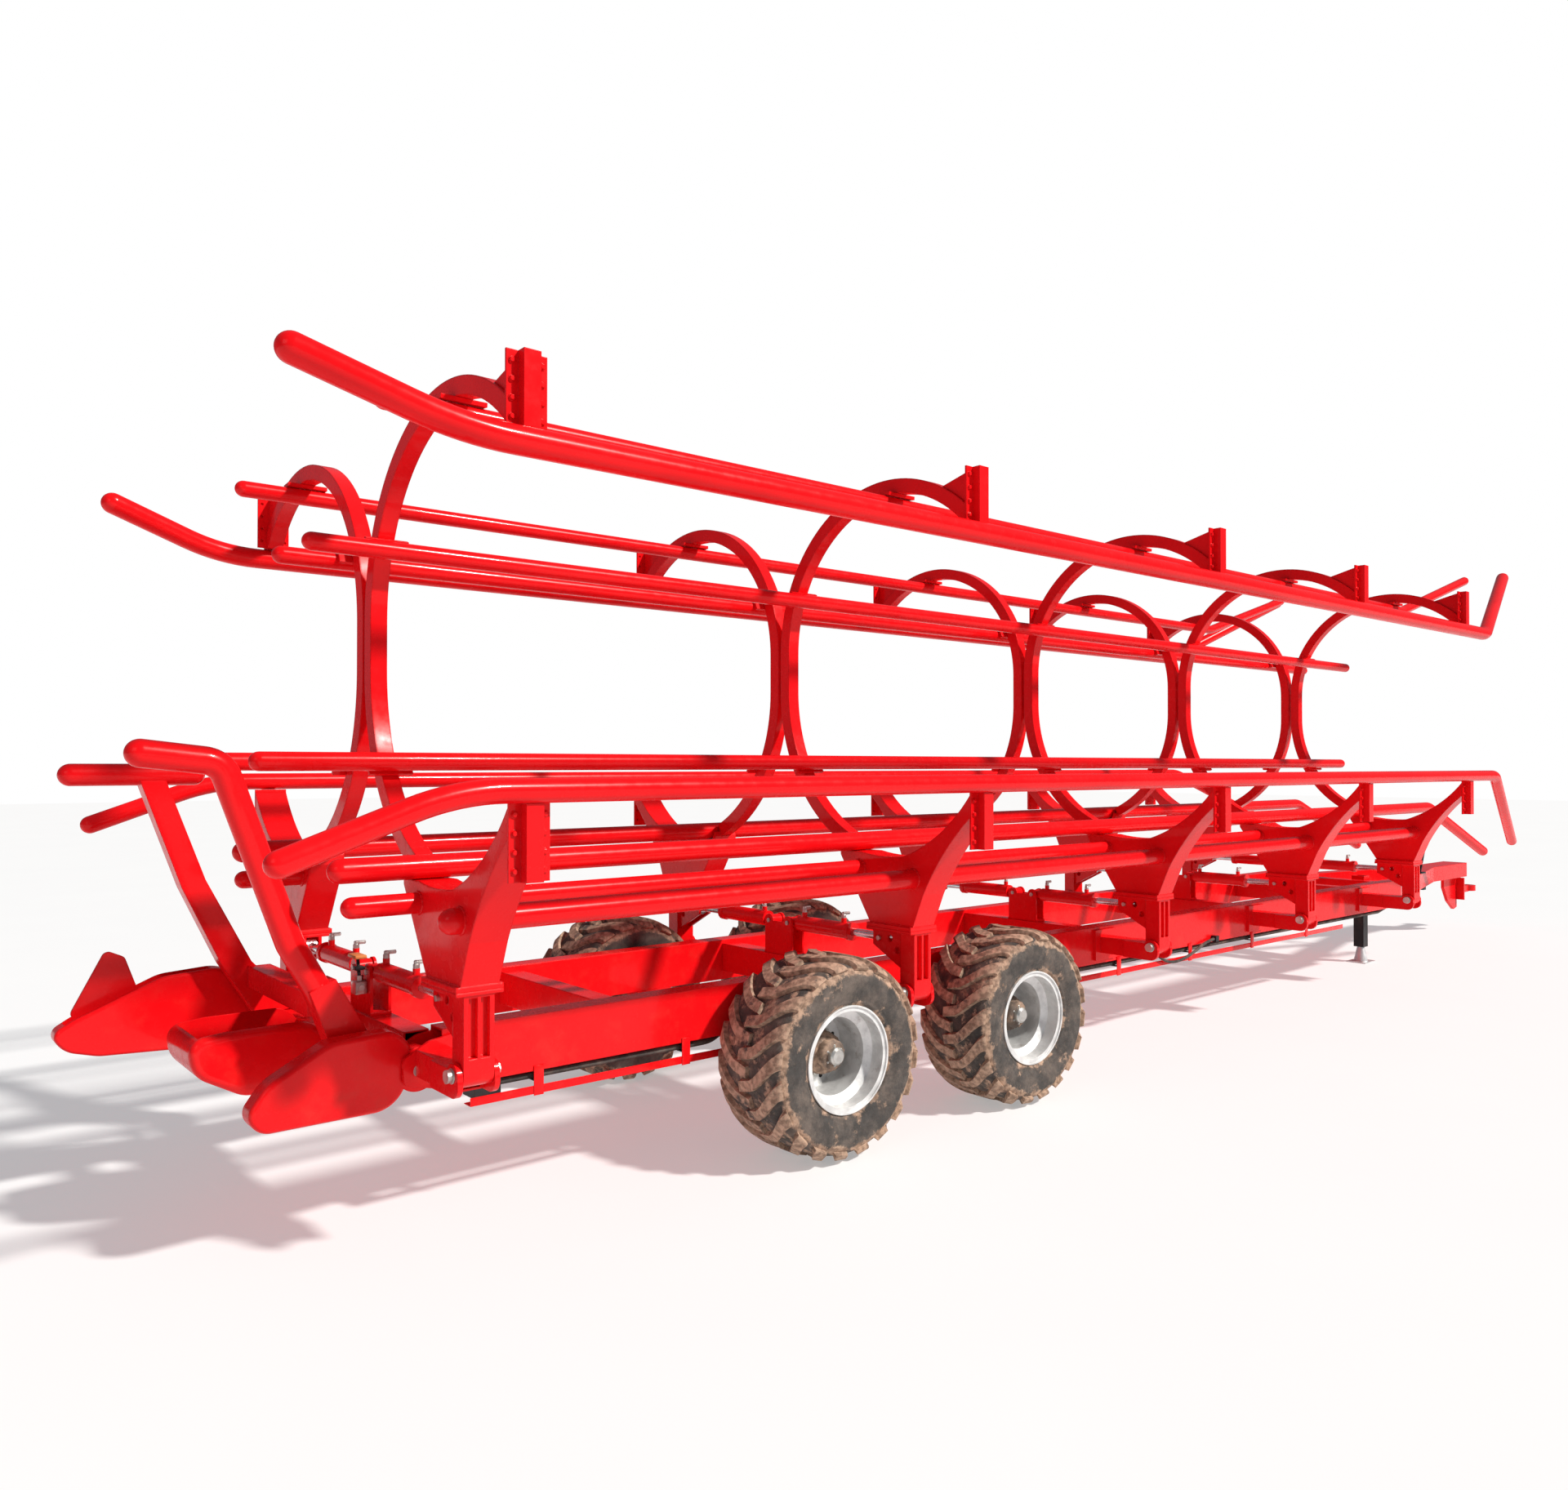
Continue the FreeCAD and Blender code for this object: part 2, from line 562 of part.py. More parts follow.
def make_brackets():
    out = size("bracket_out")
    upper_bottom = size("upper_rail_height") + size("upper_rail_radius") + 0.5
    upper = bracket(upper_bottom, out)
    lower_top = size("lower_rail_height") - size("lower_rail_radius") - 0.5
    lower = bracket(lower_top - size("bracket_length"), out + LOWER_BRACKET_STEP)
    lane_out, lane_height = size("lane_out"), size("lane_height")
    reach = size("hoop_radius") + size("hoop_tube") / 2 + 0.5
    tip, root = math.radians(62), math.acos((out - 1 - lane_out) / reach)

    def on_hoop(angle):
        return side_point(lane_out + reach * math.cos(angle), lane_height + reach * math.sin(angle))

    top = side_point(out - 1, upper_bottom + size("bracket_length") - 4)
    gusset = slab(outline([(on_hoop(tip), on_hoop((tip + root) / 2), on_hoop(root)),
                           (on_hoop(root), top), (top, on_hoop(tip))]), 40)
    both_sides("rail_brackets", at_stations(Part.makeCompound([upper, lower, gusset])))
    bolts = [round_x(-54, 54, size("ram_outer_out"), size("ram_height"), size("ram_pin_radius"))]
    for bracket_bottom, face in ((upper_bottom, out),
                                 (lower_top - size("bracket_length"), out + LOWER_BRACKET_STEP)):
        for x in (-size("bracket_width") * 0.37, size("bracket_width") * 0.37):
            for step in (0, 3):
                height = bracket_bottom + size("bracket_length") * (0.14 + 0.24 * step)
                plate = size("bracket_plate")
                shank = Part.makeCylinder(size("fastener_radius"), plate, Vector(x, -face, height),
                                          Vector(0, -1, 0))
                head = Part.makeCylinder(12, 9, Vector(x, -face - plate, height), Vector(0, -1, 0))
                bolts.append(shank.fuse(head).removeSplitter())
    both_sides("cage_fasteners", at_stations(Part.makeCompound(bolts)))


GUIDES = {}   # name: (out, height, angle of the clamp, arc centre out, arc centre height)


def place_guides():
    """Put each guide rail a clamp's thickness inside the hoop."""
    half = size("hoop_tube") / 2
    inset = half + size("clamp_gap") + size("guide_rail_radius")
    lane_out, lane_height = size("lane_out"), size("lane_height")
    foot_out = lane_out - size("hoop_radius") + size("foot_arc_radius")
    for name, angle, centre_out, centre_height, radius in (
            ("top", 85.4, lane_out, lane_height, size("hoop_radius")),
            ("inner_upper", 156.2, lane_out, lane_height, size("hoop_radius")),
            ("inner_lower", 210.6, foot_out, size("foot_arc_height"), size("foot_arc_radius"))):
        reach = radius - inset
        turn = math.radians(angle)
        GUIDES[name] = (centre_out + reach * math.cos(turn), centre_height + reach * math.sin(turn), angle)


def make_rails():
    upper = size("upper_rail_out"), size("upper_rail_height")
    lower = size("lower_rail_out"), size("lower_rail_height")
    guide = size("guide_rail_radius")
    both_sides("upper_outer_rail", rail(rail_points(
        *upper, -5835, 2905, (-490, -100, 170), (1500, -360, 660)), size("upper_rail_radius"), BENDS))
    both_sides("lower_outer_rail", rail(rail_points(
        *lower, -5861, 3045, (-530, 0, -200), (1500, -360, -620)), size("lower_rail_radius"), BENDS))
    guides = [rail(rail_points(*GUIDES["top"][:2], -5875, 2690, None, (1380, 0, 400)), guide),
              rail(rail_points(*GUIDES["inner_upper"][:2], -5905, 3155), guide),
              rail(rail_points(*GUIDES["inner_lower"][:2], -6110, 2945), guide)]
    both_sides("guide_rails", Part.makeCompound(guides))
    bed = [rail(rail_points(size("bed_inner_out"), size("bed_inner_height"), -5935, 3895, None,
                            (1340, 0, -470)), size("bed_rail_radius")),
           rail(rail_points(size("bed_middle_out"), size("bed_middle_height"), -5915, 2700),
                size("bed_middle_radius")),
           rail(rail_points(size("bed_outer_out"), size("bed_outer_height"), -5700, 2640),
                size("bed_rail_radius"))]
    both_sides("bed_rails", Part.makeCompound(bed))


def make_clamps():
    """Blocks between the hoops and the guide rails, square to the hoop."""
    clamps = []
    for out, height, angle in GUIDES.values():
        reach = size("guide_rail_radius") + 1.0
        thick = size("clamp_gap") - 3.0
        block = Part.makeBox(180, thick, 70, Vector(-90, reach, -35))
        # The block starts beside +Y and is turned to the clamp's direction on the right side.
        block.rotate(Vector(), Vector(1, 0, 0), 180 - angle)
        block.translate(Vector(0, -out, height))
        clamps.append(block)
    both_sides("rail_clamps", at_stations(Part.makeCompound(clamps)))


# ---------------------------------------------------------------- wheels
def revolved_body(name, profile, centre):
    """A PartDesign body turned about an axle; `profile` lists (radius, y) corners."""
    body = doc.addObject("PartDesign::Body", name)
    sketch = body.newObject("Sketcher::SketchObject", name + "_section")
    plane = [o for o in body.Origin.OriginFeatures if o.Role == "YZ_Plane"][0]
    sketch.AttachmentSupport = [(plane, "")]
    sketch.MapMode = "FlatFace"
    corners = [Vector(y, radius, 0) for radius, y in profile]
    for start, end in zip(corners, corners[1:] + corners[:1]):
        sketch.addGeometry(Part.LineSegment(start, end))
    turned = body.newObject("PartDesign::Revolution", name + "_turned")
    turned.Profile = sketch
    turned.ReferenceAxis = (sketch, ["H_Axis"])
    turned.Angle = 360
    body.Tip = turned
    body.Placement.Base = centre
    return body


def make_wheels():
    tyre, width, rim = size("tyre_radius"), size("tyre_width"), size("rim_radius")
    rim_width = size("rim_width")
    half = width / 2
    outer = [(rim + 12, -rim_width / 2 + 12), (rim + 34, -rim_width / 2 + 12),
             (rim + 60, -half + 14), (rim + 120, -half),
             (tyre - 75, -half + 6), (tyre - 22, -half + 36), (tyre - 6, -half + 90), (tyre, -half + 160)]
    outer += [(radius, -y) for radius, y in reversed(outer)]
    inner = [(rim + 12, rim_width / 2 - 24), (rim + 34, rim_width / 2 - 24),
             (rim + 60, half - 30), (rim + 120, half - 24),
             (tyre - 75, half - 34), (tyre - 46, half - 62), (tyre - 36, half - 110)]
    inner += [(radius, -y) for radius, y in reversed(inner)]
    dish = 60
    rim_section = [(rim + 22, -rim_width / 2), (rim + 22, -rim_width / 2 - 8),
                   (rim + 30, -rim_width / 2 - 8),
                   (rim + 30, -rim_width / 2 + 6), (rim + 10, -rim_width / 2 + 10), (rim + 10, -120),
                   (rim - 30, -100), (rim - 30, 100), (rim + 10, 120), (rim + 10, rim_width / 2 - 10),
                   (rim + 30, rim_width / 2 - 6), (rim + 30, rim_width / 2 + 8),
                   (rim + 22, rim_width / 2 + 8), (rim + 22, rim_width / 2), (rim + 2, rim_width / 2),
                   (rim + 2, 124), (rim - 38, 104), (rim - 38, dish + 12), (70, dish + 12), (70, dish),
                   (rim - 38, dish), (rim - 38, -104), (rim + 2, -124), (rim + 2, -rim_width / 2)]
    spindle = size("spindle_radius") + size("running_gap")
    hub_section = [(spindle, dish + 90), (68, dish + 90), (68, dish + 28), (110, dish + 28),
                   (110, dish + 12.5), (69, dish + 12.5), (69, dish - 8), (66, dish - 60), (58, dish - 110),
                   (52, dish - 130), (0, dish - 135), (0, dish - 127), (spindle, dish - 127)]
    for name, x, side in (("right_rear", "axle_rear", -1), ("right_front", "axle_front", -1),
                          ("left_rear", "axle_rear", 1), ("left_front", "axle_front", 1)):
        centre = Vector(size(x), side * size("track_half"), tyre)
        for kind, profile in (("tyre", outer + inner), ("rim", rim_section), ("hub", hub_section)):
            flipped = [(radius, -side * y) for radius, y in profile]
            keep(revolved_body(f"{name}_{kind}_body", flipped, centre), f"{name}_{kind}")


# ---------------------------------------------------------------- front end
def make_drawbar():
    front, top = size("beam_front"), size("beam_top")
    outer = size("beam_outer")
    plan = [(front + 0.5, -outer), (front + 2050, -120), (front + 2050, -20), (front + 0.5, -outer + 150)]
    arms = []
    for side in (1, -1):
        wire = polygon([Vector(x, side * y, top - 190) for x, y in plan])
        arms.append(Part.Face(wire).extrude(Vector(0, 0, 150)))
    nose = Part.makeBox(900, 240, 150, Vector(front + 2050, -120, top - 190))
    neck = arms[0].fuse([arms[1], nose])
    neck = neck.fuse(Part.makeBox(300, 900, 12, Vector(front + 0.5, -450, top - 190)))
    sleeve = size("jack_square") + 24
    hole = Part.makeBox(sleeve, sleeve, 200, Vector(size("jack_place") - sleeve / 2,
                                                    -size("jack_out") - sleeve / 2, top - 200))
    feature("drawbar", neck.removeSplitter().cut(hole))
    tip = size("overall_length") / 2
    plate = plate_xz([(tip - 775, 740), (tip - 475, 720), (tip - 425, 560), (tip - 425, 250),
                      (tip - 505, 230), (tip - 665, 330), (tip - 775, 480)], -16, 32)
    plate = plate.cut(Part.makeBox(400, 60, 152, Vector(tip - 825, -30, top - 191)))
    feature("hitch_plate", plate)


def make_hitch_eye():
    """A back plate, a shank and a flat ring for the tractor's pin."""
    tip = "(overall_length / 2)"
    ring_middle = f"{tip} - hitch_ring"
    plate = box((f"{tip} - 424.5", "-90", "hitch_low - 75"), ("20", "180", "240"))
    shank = box((f"{tip} - 404.5", "-45", "hitch_low - 5"), ("240", "90", "70"))
    ring = rod((ring_middle, "0", "hitch_low"), "hitch_ring_height", "hitch_ring", "z")
    bore = rod((ring_middle, "0", "hitch_low - 20"), "hitch_ring_height + 40", "hitch_bore", "z")
    keep(cut(fuse(plate, shank, ring), bore), "hitch_eye")


def make_jack():
    square, out = size("jack_square"), size("jack_out")
    sleeve = box_tube(("jack_place - jack_square / 2 - 11", "-jack_out - jack_square / 2 - 11",
                       "jack_sleeve_bottom"),
                      ("jack_square + 22", "jack_square + 22", "jack_sleeve_top - jack_sleeve_bottom"),
                      "10", 2)
    keep(sleeve, "jack_sleeve")
    post = box(("jack_place - jack_square / 2", "-jack_out - jack_square / 2", "jack_post_bottom"),
               ("jack_square", "jack_square", "560"))
    keep(post, "jack_post")
    foot = box(("jack_place - 110", "-jack_out - 85", "0"), ("220", "170", "8"))
    stem = doc.addObject("Part::Cone", "stem")
    for name, text in (("Radius1", "60"), ("Radius2", "30"), ("Height", "jack_post_bottom - 8"),
                       ("Placement.Base.x", "jack_place"), ("Placement.Base.y", "-jack_out"),
                       ("Placement.Base.z", "8")):
        stem.setExpression(name, bound(text))
    keep(fuse(foot, stem), "jack_foot")


# ---------------------------------------------------------------- loading head
def knuckle(out):
    """The shoe's hinge knuckle, drawn on the right."""
    low_y = -out
    body = Part.makeCylinder(size("knuckle_radius"), size("shoe_width"),
                             Vector(size("head_pivot"), low_y, size("head_height")), Vector(0, 1, 0))
    return body


def pivot_hole(shape):
    radius = size("head_pin_radius") + size("running_gap")
    return shape.cut(Part.makeCylinder(radius, 1600, Vector(size("head_pivot"), -800, size("head_height")),
                                       Vector(0, 1, 0)))


def make_left_shoe():
    """An open scoop: a round-nosed body, hollowed from above, with a peak on its outer wall."""
    pivot, outer, width = size("head_pivot"), size("shoe_outer"), size("shoe_width")
    tip, wall = -size("overall_length") / 2, 14
    body = soft_plate([(pivot - 60, 570), (tip + 170, 615), (tip + 50, 650), (tip, 725), (tip + 80, 775),
                       (tip + 400, 915), (tip + 620, 930), (pivot - 10, 722)], outer - width, width, 160, 16)
    scoop = round_plate([(tip + 52, 722), (tip + 190, 655), (tip + 540, 650), (tip + 600, 1000),
                         (tip + 52, 1000)], outer - width + wall, width - 2 * wall, 60)
    peak = round_plate([(tip + 60, 745), (tip + 205, 1035), (tip + 275, 1000), (tip + 330, 840),
                        (tip + 200, 790)], outer - wall, wall, 25)
    shoe = body.cut(scoop).fuse([peak, mirrored(knuckle(outer))])
    feature("left_shoe", pivot_hole(shoe).removeSplitter())


def make_head():
    pivot, height = size("head_pivot"), size("head_height")
    outer, width = size("shoe_outer"), size("shoe_width")
    right = soft_plate([(pivot - 60, 500), (-6200, 500), (-6250, 570), (-6180, 670), (-5960, 792),
                        (-5720, 800), (pivot - 10, 722)], -outer, width, 160, 18)
    feature("right_shoe", pivot_hole(right.fuse(knuckle(outer))).removeSplitter())
    make_left_shoe()
    spoon = soft_plate([(-5830, 535), (-6140, 535), (-6320, 640), (-6340, 775), (-6200, 790),
                        (-5830, 790)], -200, 400, 120, 30)
    scoop = plate_xz([(-5845, 560), (-6120, 560), (-6285, 650), (-6300, 800), (-5845, 800)], -165, 330)
    feature("centre_spoon", spoon.cut(scoop))
    arm = size("arm_out")
    lower_bar = Part.makeBox(90, 2 * (outer - width) - 1, 130, Vector(-5829.5, width - outer + 0.5, 600))
    upper_bar = Part.makeBox(90, 2 * arm - 98, 90, Vector(-5975, 52.5 - arm, 850))
    feature("head_crossbar", Part.makeCompound([lower_bar, upper_bar]))
    right_route = [Vector(-5870, -arm, 800), Vector(-6055, -arm, 1142), Vector(-6290, -arm, 1815),
                   Vector(-6545, -arm, 1845)]
    base = plate_xz([(-5830, 610), (-5870, 610), (-6000, 960), (-5905, 1000), (-5760, 740), (-5830, 731)],
                    -arm - 52, 104)
    right_arm = swept_round(bent_path(right_route, 90.0), 50)
    right_arm = right_arm.fuse(Part.makeSphere(50, right_route[-1]))
    feature("right_head_arm", right_arm.fuse(base).removeSplitter())
    left_arm = plate_xz([(-5830, 610), (-5870, 610), (-6080, 960), (-6230, 1290), (-6385, 1740),
                         (-6290, 1740), (-6140, 1320), (-5960, 960), (-5760, 740), (-5830, 731)],
                        arm - 45, 90)
    left_arm = left_arm.fuse(Part.makeCylinder(45, 440, Vector(-6620, arm, 1765), Vector(1, 0, 0)))
    for x in (-6620, -6180):
        left_arm = left_arm.fuse(Part.makeSphere(45, Vector(x, arm, 1765)))
    feature("left_head_arm", left_arm.removeSplitter())
    ears = []
    for side in (1, -1):
        for low in (size("beam_outer"), size("beam_outer") - size("beam_width") - size("ear_thickness")):
            ear = round_plate([(-5440, 562), (-5560, 555), (-5700, 590), (-5705, 690), (-5600, 745),
                               (-5440, 770)], low, size("ear_thickness"), 28)
            ears.append(pivot_hole(ear if side > 0 else mirrored(ear)))
    feature("head_hinge_plates", Part.makeCompound(ears))
    near, far = "beam_outer - beam_width - ear_thickness + 0.3", "beam_outer + ear_thickness - 0.3"
    keep(group(*[cross_rod(side, "head_pivot", near, far, "head_height", "head_pin_radius")
                 for side in ("right", "left")]), "head_pins")


# ---------------------------------------------------------------- hydraulic lines
HOSE_ROUTE = [(-905, 640), (-800, 622), (-670, 568), (-540, 490), (-420, 466), (-290, 478),
              (-150, 512), (-20, 562), (95, 575)]   # (x, z) of the hanging hose, under the right beam


def make_lines():
    """Two pipes under the right beam that pass the axles on the inside, and what holds them."""
    drop = size("beam_top") - size("beam_height") - size("line_drop")
    radius = size("line_radius")
    route = [(-5300, 585, 0), (-4250, 585, 0), (-4080, 475, 8), (-2230, 475, 8), (-2060, 585, 0),
             (2900, 585, 0), (5050, 90, 30)]
    pipes = []
    for step in (0, 1):
        points = [Vector(x, 34 * step - out, drop + up) for x, out, up in route]
        pipes.append(swept_round(bent_path(points, 160.0), radius))
    feature("hydraulic_lines", Part.makeCompound(pipes))
    edge = size("beam_outer")
    fittings = [Part.makeBox(110, 110, 70, Vector(-5410.5, -edge, drop - 46)),
                Part.makeBox(60, 120, 60, Vector(5055, -133, drop))]
    for x in [-5150, -4420] + [-1900 + 850 * step for step in range(5)]:
        strap = Part.makeBox(30, 90, 4, Vector(x, -edge - 4, drop - radius - 6))
        upright = Part.makeBox(30, 4, 64, Vector(x, -edge - 4, drop - radius - 6))
        fittings.append(strap.fuse(upright).removeSplitter())
    glands = ((HOSE_ROUTE[0], -40.0), (HOSE_ROUTE[-1], 0.0))
    for (x, z), start in glands:
        fittings.append(Part.makeBox(40, 40, 40, Vector(x + start, -edge - 40, z - 20)))
    feature("line_fittings", Part.makeCompound(fittings))


def make_hanging_hose():
    """A slack hose between two glands; each bend is as large as its two runs allow."""
    points = [Vector(x, -size("hose_out"), z) for x, z in HOSE_ROUTE]
    reaches = []
    for before, corner, after in zip(points, points[1:], points[2:]):
        reaches.append(0.45 * min((before - corner).Length, (after - corner).Length))
        print(f"hose bend radius {reaches[-1] / bend_tangent(before, corner, after):.0f}")
    path = rounded_path(points, reaches)
    hose = swept_round(path, size("hose_radius"))
    expected = math.pi * size("hose_radius") ** 2 * path.Length
    print(f"hose length {path.Length:.0f}  volume ratio {hose.Volume / expected:.4f}")
    feature("hanging_hose", hose)


# ---------------------------------------------------------------- build, test and write
make_beams()
make_cross_members()
make_axles()
make_outriggers()
make_chassis_pins()
make_ram_stands()
make_rams()
make_posts()
make_pedestals()
make_hoops()
make_brackets()
place_guides()
make_rails()
make_clamps()
make_wheels()
make_drawbar()
make_hitch_eye()
make_jack()
make_head()
make_lines()
make_hanging_hose()
doc.recompute()

for thing in doc.Objects:
    if "Invalid" in thing.State or "Error" in thing.State:
        raise RuntimeError(f"{thing.Label} failed: {thing.State}")
os.makedirs("parts", exist_ok=True)
for thing in kept:
    shape = thing.Shape
    if shape.isNull() or not shape.isValid() or not shape.Solids:
        raise RuntimeError(f"{thing.Label} has a bad shape")
    shape.exportStep(f"parts/{thing.Label}.step")
    print(f"{thing.Label:24s} solids {len(shape.Solids):3d}  volume {shape.Volume / 1e9:9.5f} m3")
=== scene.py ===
"""Looks of the two-lane bale trailer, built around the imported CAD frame.

Metres; +X is the hitch end, +Z is up, and the right side is at negative Y.
"""
import json
import math
import random

import bmesh
import bpy
from mathutils import Matrix, Vector


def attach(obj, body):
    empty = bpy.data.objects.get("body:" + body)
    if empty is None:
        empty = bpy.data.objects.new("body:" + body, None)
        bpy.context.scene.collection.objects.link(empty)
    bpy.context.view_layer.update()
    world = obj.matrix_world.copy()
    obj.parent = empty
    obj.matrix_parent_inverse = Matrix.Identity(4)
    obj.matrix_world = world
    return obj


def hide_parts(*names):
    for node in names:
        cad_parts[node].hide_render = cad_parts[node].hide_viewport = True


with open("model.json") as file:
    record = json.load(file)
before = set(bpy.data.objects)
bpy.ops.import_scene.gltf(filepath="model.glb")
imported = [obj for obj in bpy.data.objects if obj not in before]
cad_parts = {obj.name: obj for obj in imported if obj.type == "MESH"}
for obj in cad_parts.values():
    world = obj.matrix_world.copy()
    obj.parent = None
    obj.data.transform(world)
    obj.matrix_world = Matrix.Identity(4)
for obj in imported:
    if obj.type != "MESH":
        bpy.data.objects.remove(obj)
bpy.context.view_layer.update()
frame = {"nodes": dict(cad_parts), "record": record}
random.seed(17)

STATIONS = (-5.595, -3.315, -1.195, 0.705, 2.535)   # where the five hoops stand
SIDES = (("right", -1), ("left", 1))
WHEELS = (("rear", -3.835), ("front", -2.505))
WHEEL_OUT = 0.895          # from the centre line to the middle of a tyre
TYRE_RADIUS = 0.465
TYRE_HALF_WIDTH = 0.2265
WIDEST_RADIUS = 0.338      # where the sidewall bulges most
CROWN_RISE = 0.106         # from there up to the tread
BAR_MARGIN = 0.0005        # how far the bars stay inside the tyre's own size
BEAD_RADIUS = 0.241
BEAD_OUT = 0.190
CARCASS_STEPS = 80
LUG_COUNT = 20
LUG_STEPS = 14
LUG_HEIGHT = 0.023
DISC_INSET = 0.060         # from the tyre's middle in to the wheel disc
HUB_LENGTH = 0.1595        # from the disc to the grease cap
HUB_PROFILE = ((0.000, 0.118), (0.016, 0.116), (0.020, 0.100), (0.080, 0.098), (0.112, 0.088),
               (0.118, 0.074), (0.150, 0.072), (0.160, 0.060))   # (along, radius) of its mud
HUB_SIDES = 32
NUT_CIRCLE = 0.108
VENT_CIRCLE = 0.140
CAP_BOLT_CIRCLE = 0.047
HINGE_OUT = 1.010
HINGE_HEIGHT = 0.700
HINGE_NUT_REACH = 0.0805
ROD_PIN_OUT, ROD_PIN_HEIGHT, ROD_PIN_REACH = 0.80, 0.94, 0.054
BRACKET_ROWS = ((1.410, 2.9255), (1.436, 1.4155))   # (outer face, lower end) of a rail bracket
BRACKET_LENGTH = 0.262
BRACKET_BOLT_OFFSET = 0.0555
BED_RAIL_HOLES = ((0.690, 1.285, 0.041), (1.060, 1.255, 0.048))   # (out, height, radius)
PEDESTAL_HALF = 0.075
PORTS_OUT = (0.175, 0.490)
PORT_HEIGHT = 1.002
PIPE_RUNS = ((-5.430, -4.160), (-2.150, 2.150))
STRAPS = (-5.135, -4.405, -1.885, -1.035, -0.185, 0.665, 1.515)
MUD_AND_GAP_SHADE = "mud"                # the mesh attribute that says how muddy a point is; its lower values between the tread bars are painted shade
DRIED_CLAY, DAMP_CLAY = (0.50, 0.33, 0.23), (0.22, 0.14, 0.095)
FINE_DUST, ROAD_DUST, RUST = (0.170, 0.132, 0.108), (0.30, 0.17, 0.10), (0.20, 0.12, 0.07)
WHITE = (1.0, 1.0, 1.0, 1.0)
HOSE_ROUTE = ((-0.905, 0.640), (-0.800, 0.622), (-0.670, 0.568), (-0.540, 0.490), (-0.420, 0.466),
              (-0.290, 0.478), (-0.150, 0.512), (-0.020, 0.562), (0.095, 0.575))   # (x, z)
HOSE_OUT = 0.642
HOSE_RADIUS = 0.010


# ---------------------------------------------------------------- camera, light and floor
def link_to_scene(thing):
    bpy.context.scene.collection.objects.link(thing)


def make_camera():
    """A camera at standing height behind the right rear corner, almost level."""
    data = bpy.data.cameras.new("view")
    data.sensor_width = 36.0
    data.lens = 26.46
    data.shift_x = -0.0208
    data.shift_y = 0.0062
    camera = bpy.data.objects.new("view", data)
    link_to_scene(camera)
    yaw, pitch = math.radians(48.9), math.radians(0.53)
    level = math.cos(pitch)
    ahead = Vector((level * math.cos(yaw), level * math.sin(yaw), math.sin(pitch)))
    camera.location = (-7.395, -4.95, 1.803)
    camera.rotation_euler = ahead.to_track_quat("-Z", "Y").to_euler()
    bpy.context.scene.camera = camera


def area_light(name, place, target, size, power):
    data = bpy.data.lights.new(name, "AREA")
    data.shape = "RECTANGLE"
    data.size, data.size_y = size
    data.energy = power
    light = bpy.data.objects.new(name, data)
    light.location = place
    light.rotation_euler = (Vector(target) - Vector(place)).to_track_quat("-Z", "Y").to_euler()
    link_to_scene(light)


def make_world():
    """White behind the object, and a dimmer, slightly blue sky as its light."""
    world = bpy.data.worlds.new("studio")
    world.use_nodes = True
    tree = world.node_tree
    sky = tree.nodes["Background"]
    sky.inputs["Color"].default_value = (0.80, 0.87, 1.0, 1)
    sky.inputs["Strength"].default_value = 0.20
    backdrop = tree.nodes.new("ShaderNodeBackground")
    backdrop.inputs["Color"].default_value = WHITE
    rays = tree.nodes.new("ShaderNodeLightPath")
    mix = tree.nodes.new("ShaderNodeMixShader")
    tree.links.new(rays.outputs["Is Camera Ray"], mix.inputs[0])
    tree.links.new(sky.outputs[0], mix.inputs[1])
    tree.links.new(backdrop.outputs[0], mix.inputs[2])
    tree.links.new(mix.outputs[0], tree.nodes["World Output"].inputs["Surface"])
    bpy.context.scene.world = world


def make_lights():
    """A sun from the front right, forty degrees up, and a faint softbox behind."""
    bpy.context.scene.view_settings.view_transform = "Standard"
    make_world()
    sun = bpy.data.lights.new("sun", "SUN")
    sun.energy = 4.3
    sun.color = (1.0, 0.97, 0.92)
    sun.angle = math.radians(4)
    lamp = bpy.data.objects.new("sun", sun)
    lamp.rotation_euler = Vector((-0.40, 0.66, -0.64)).to_track_quat("-Z", "Y").to_euler()
    link_to_scene(lamp)
    area_light("rear_softbox", (-13, -5, 6), (-4, 0, 1.2), (4, 4), 60)


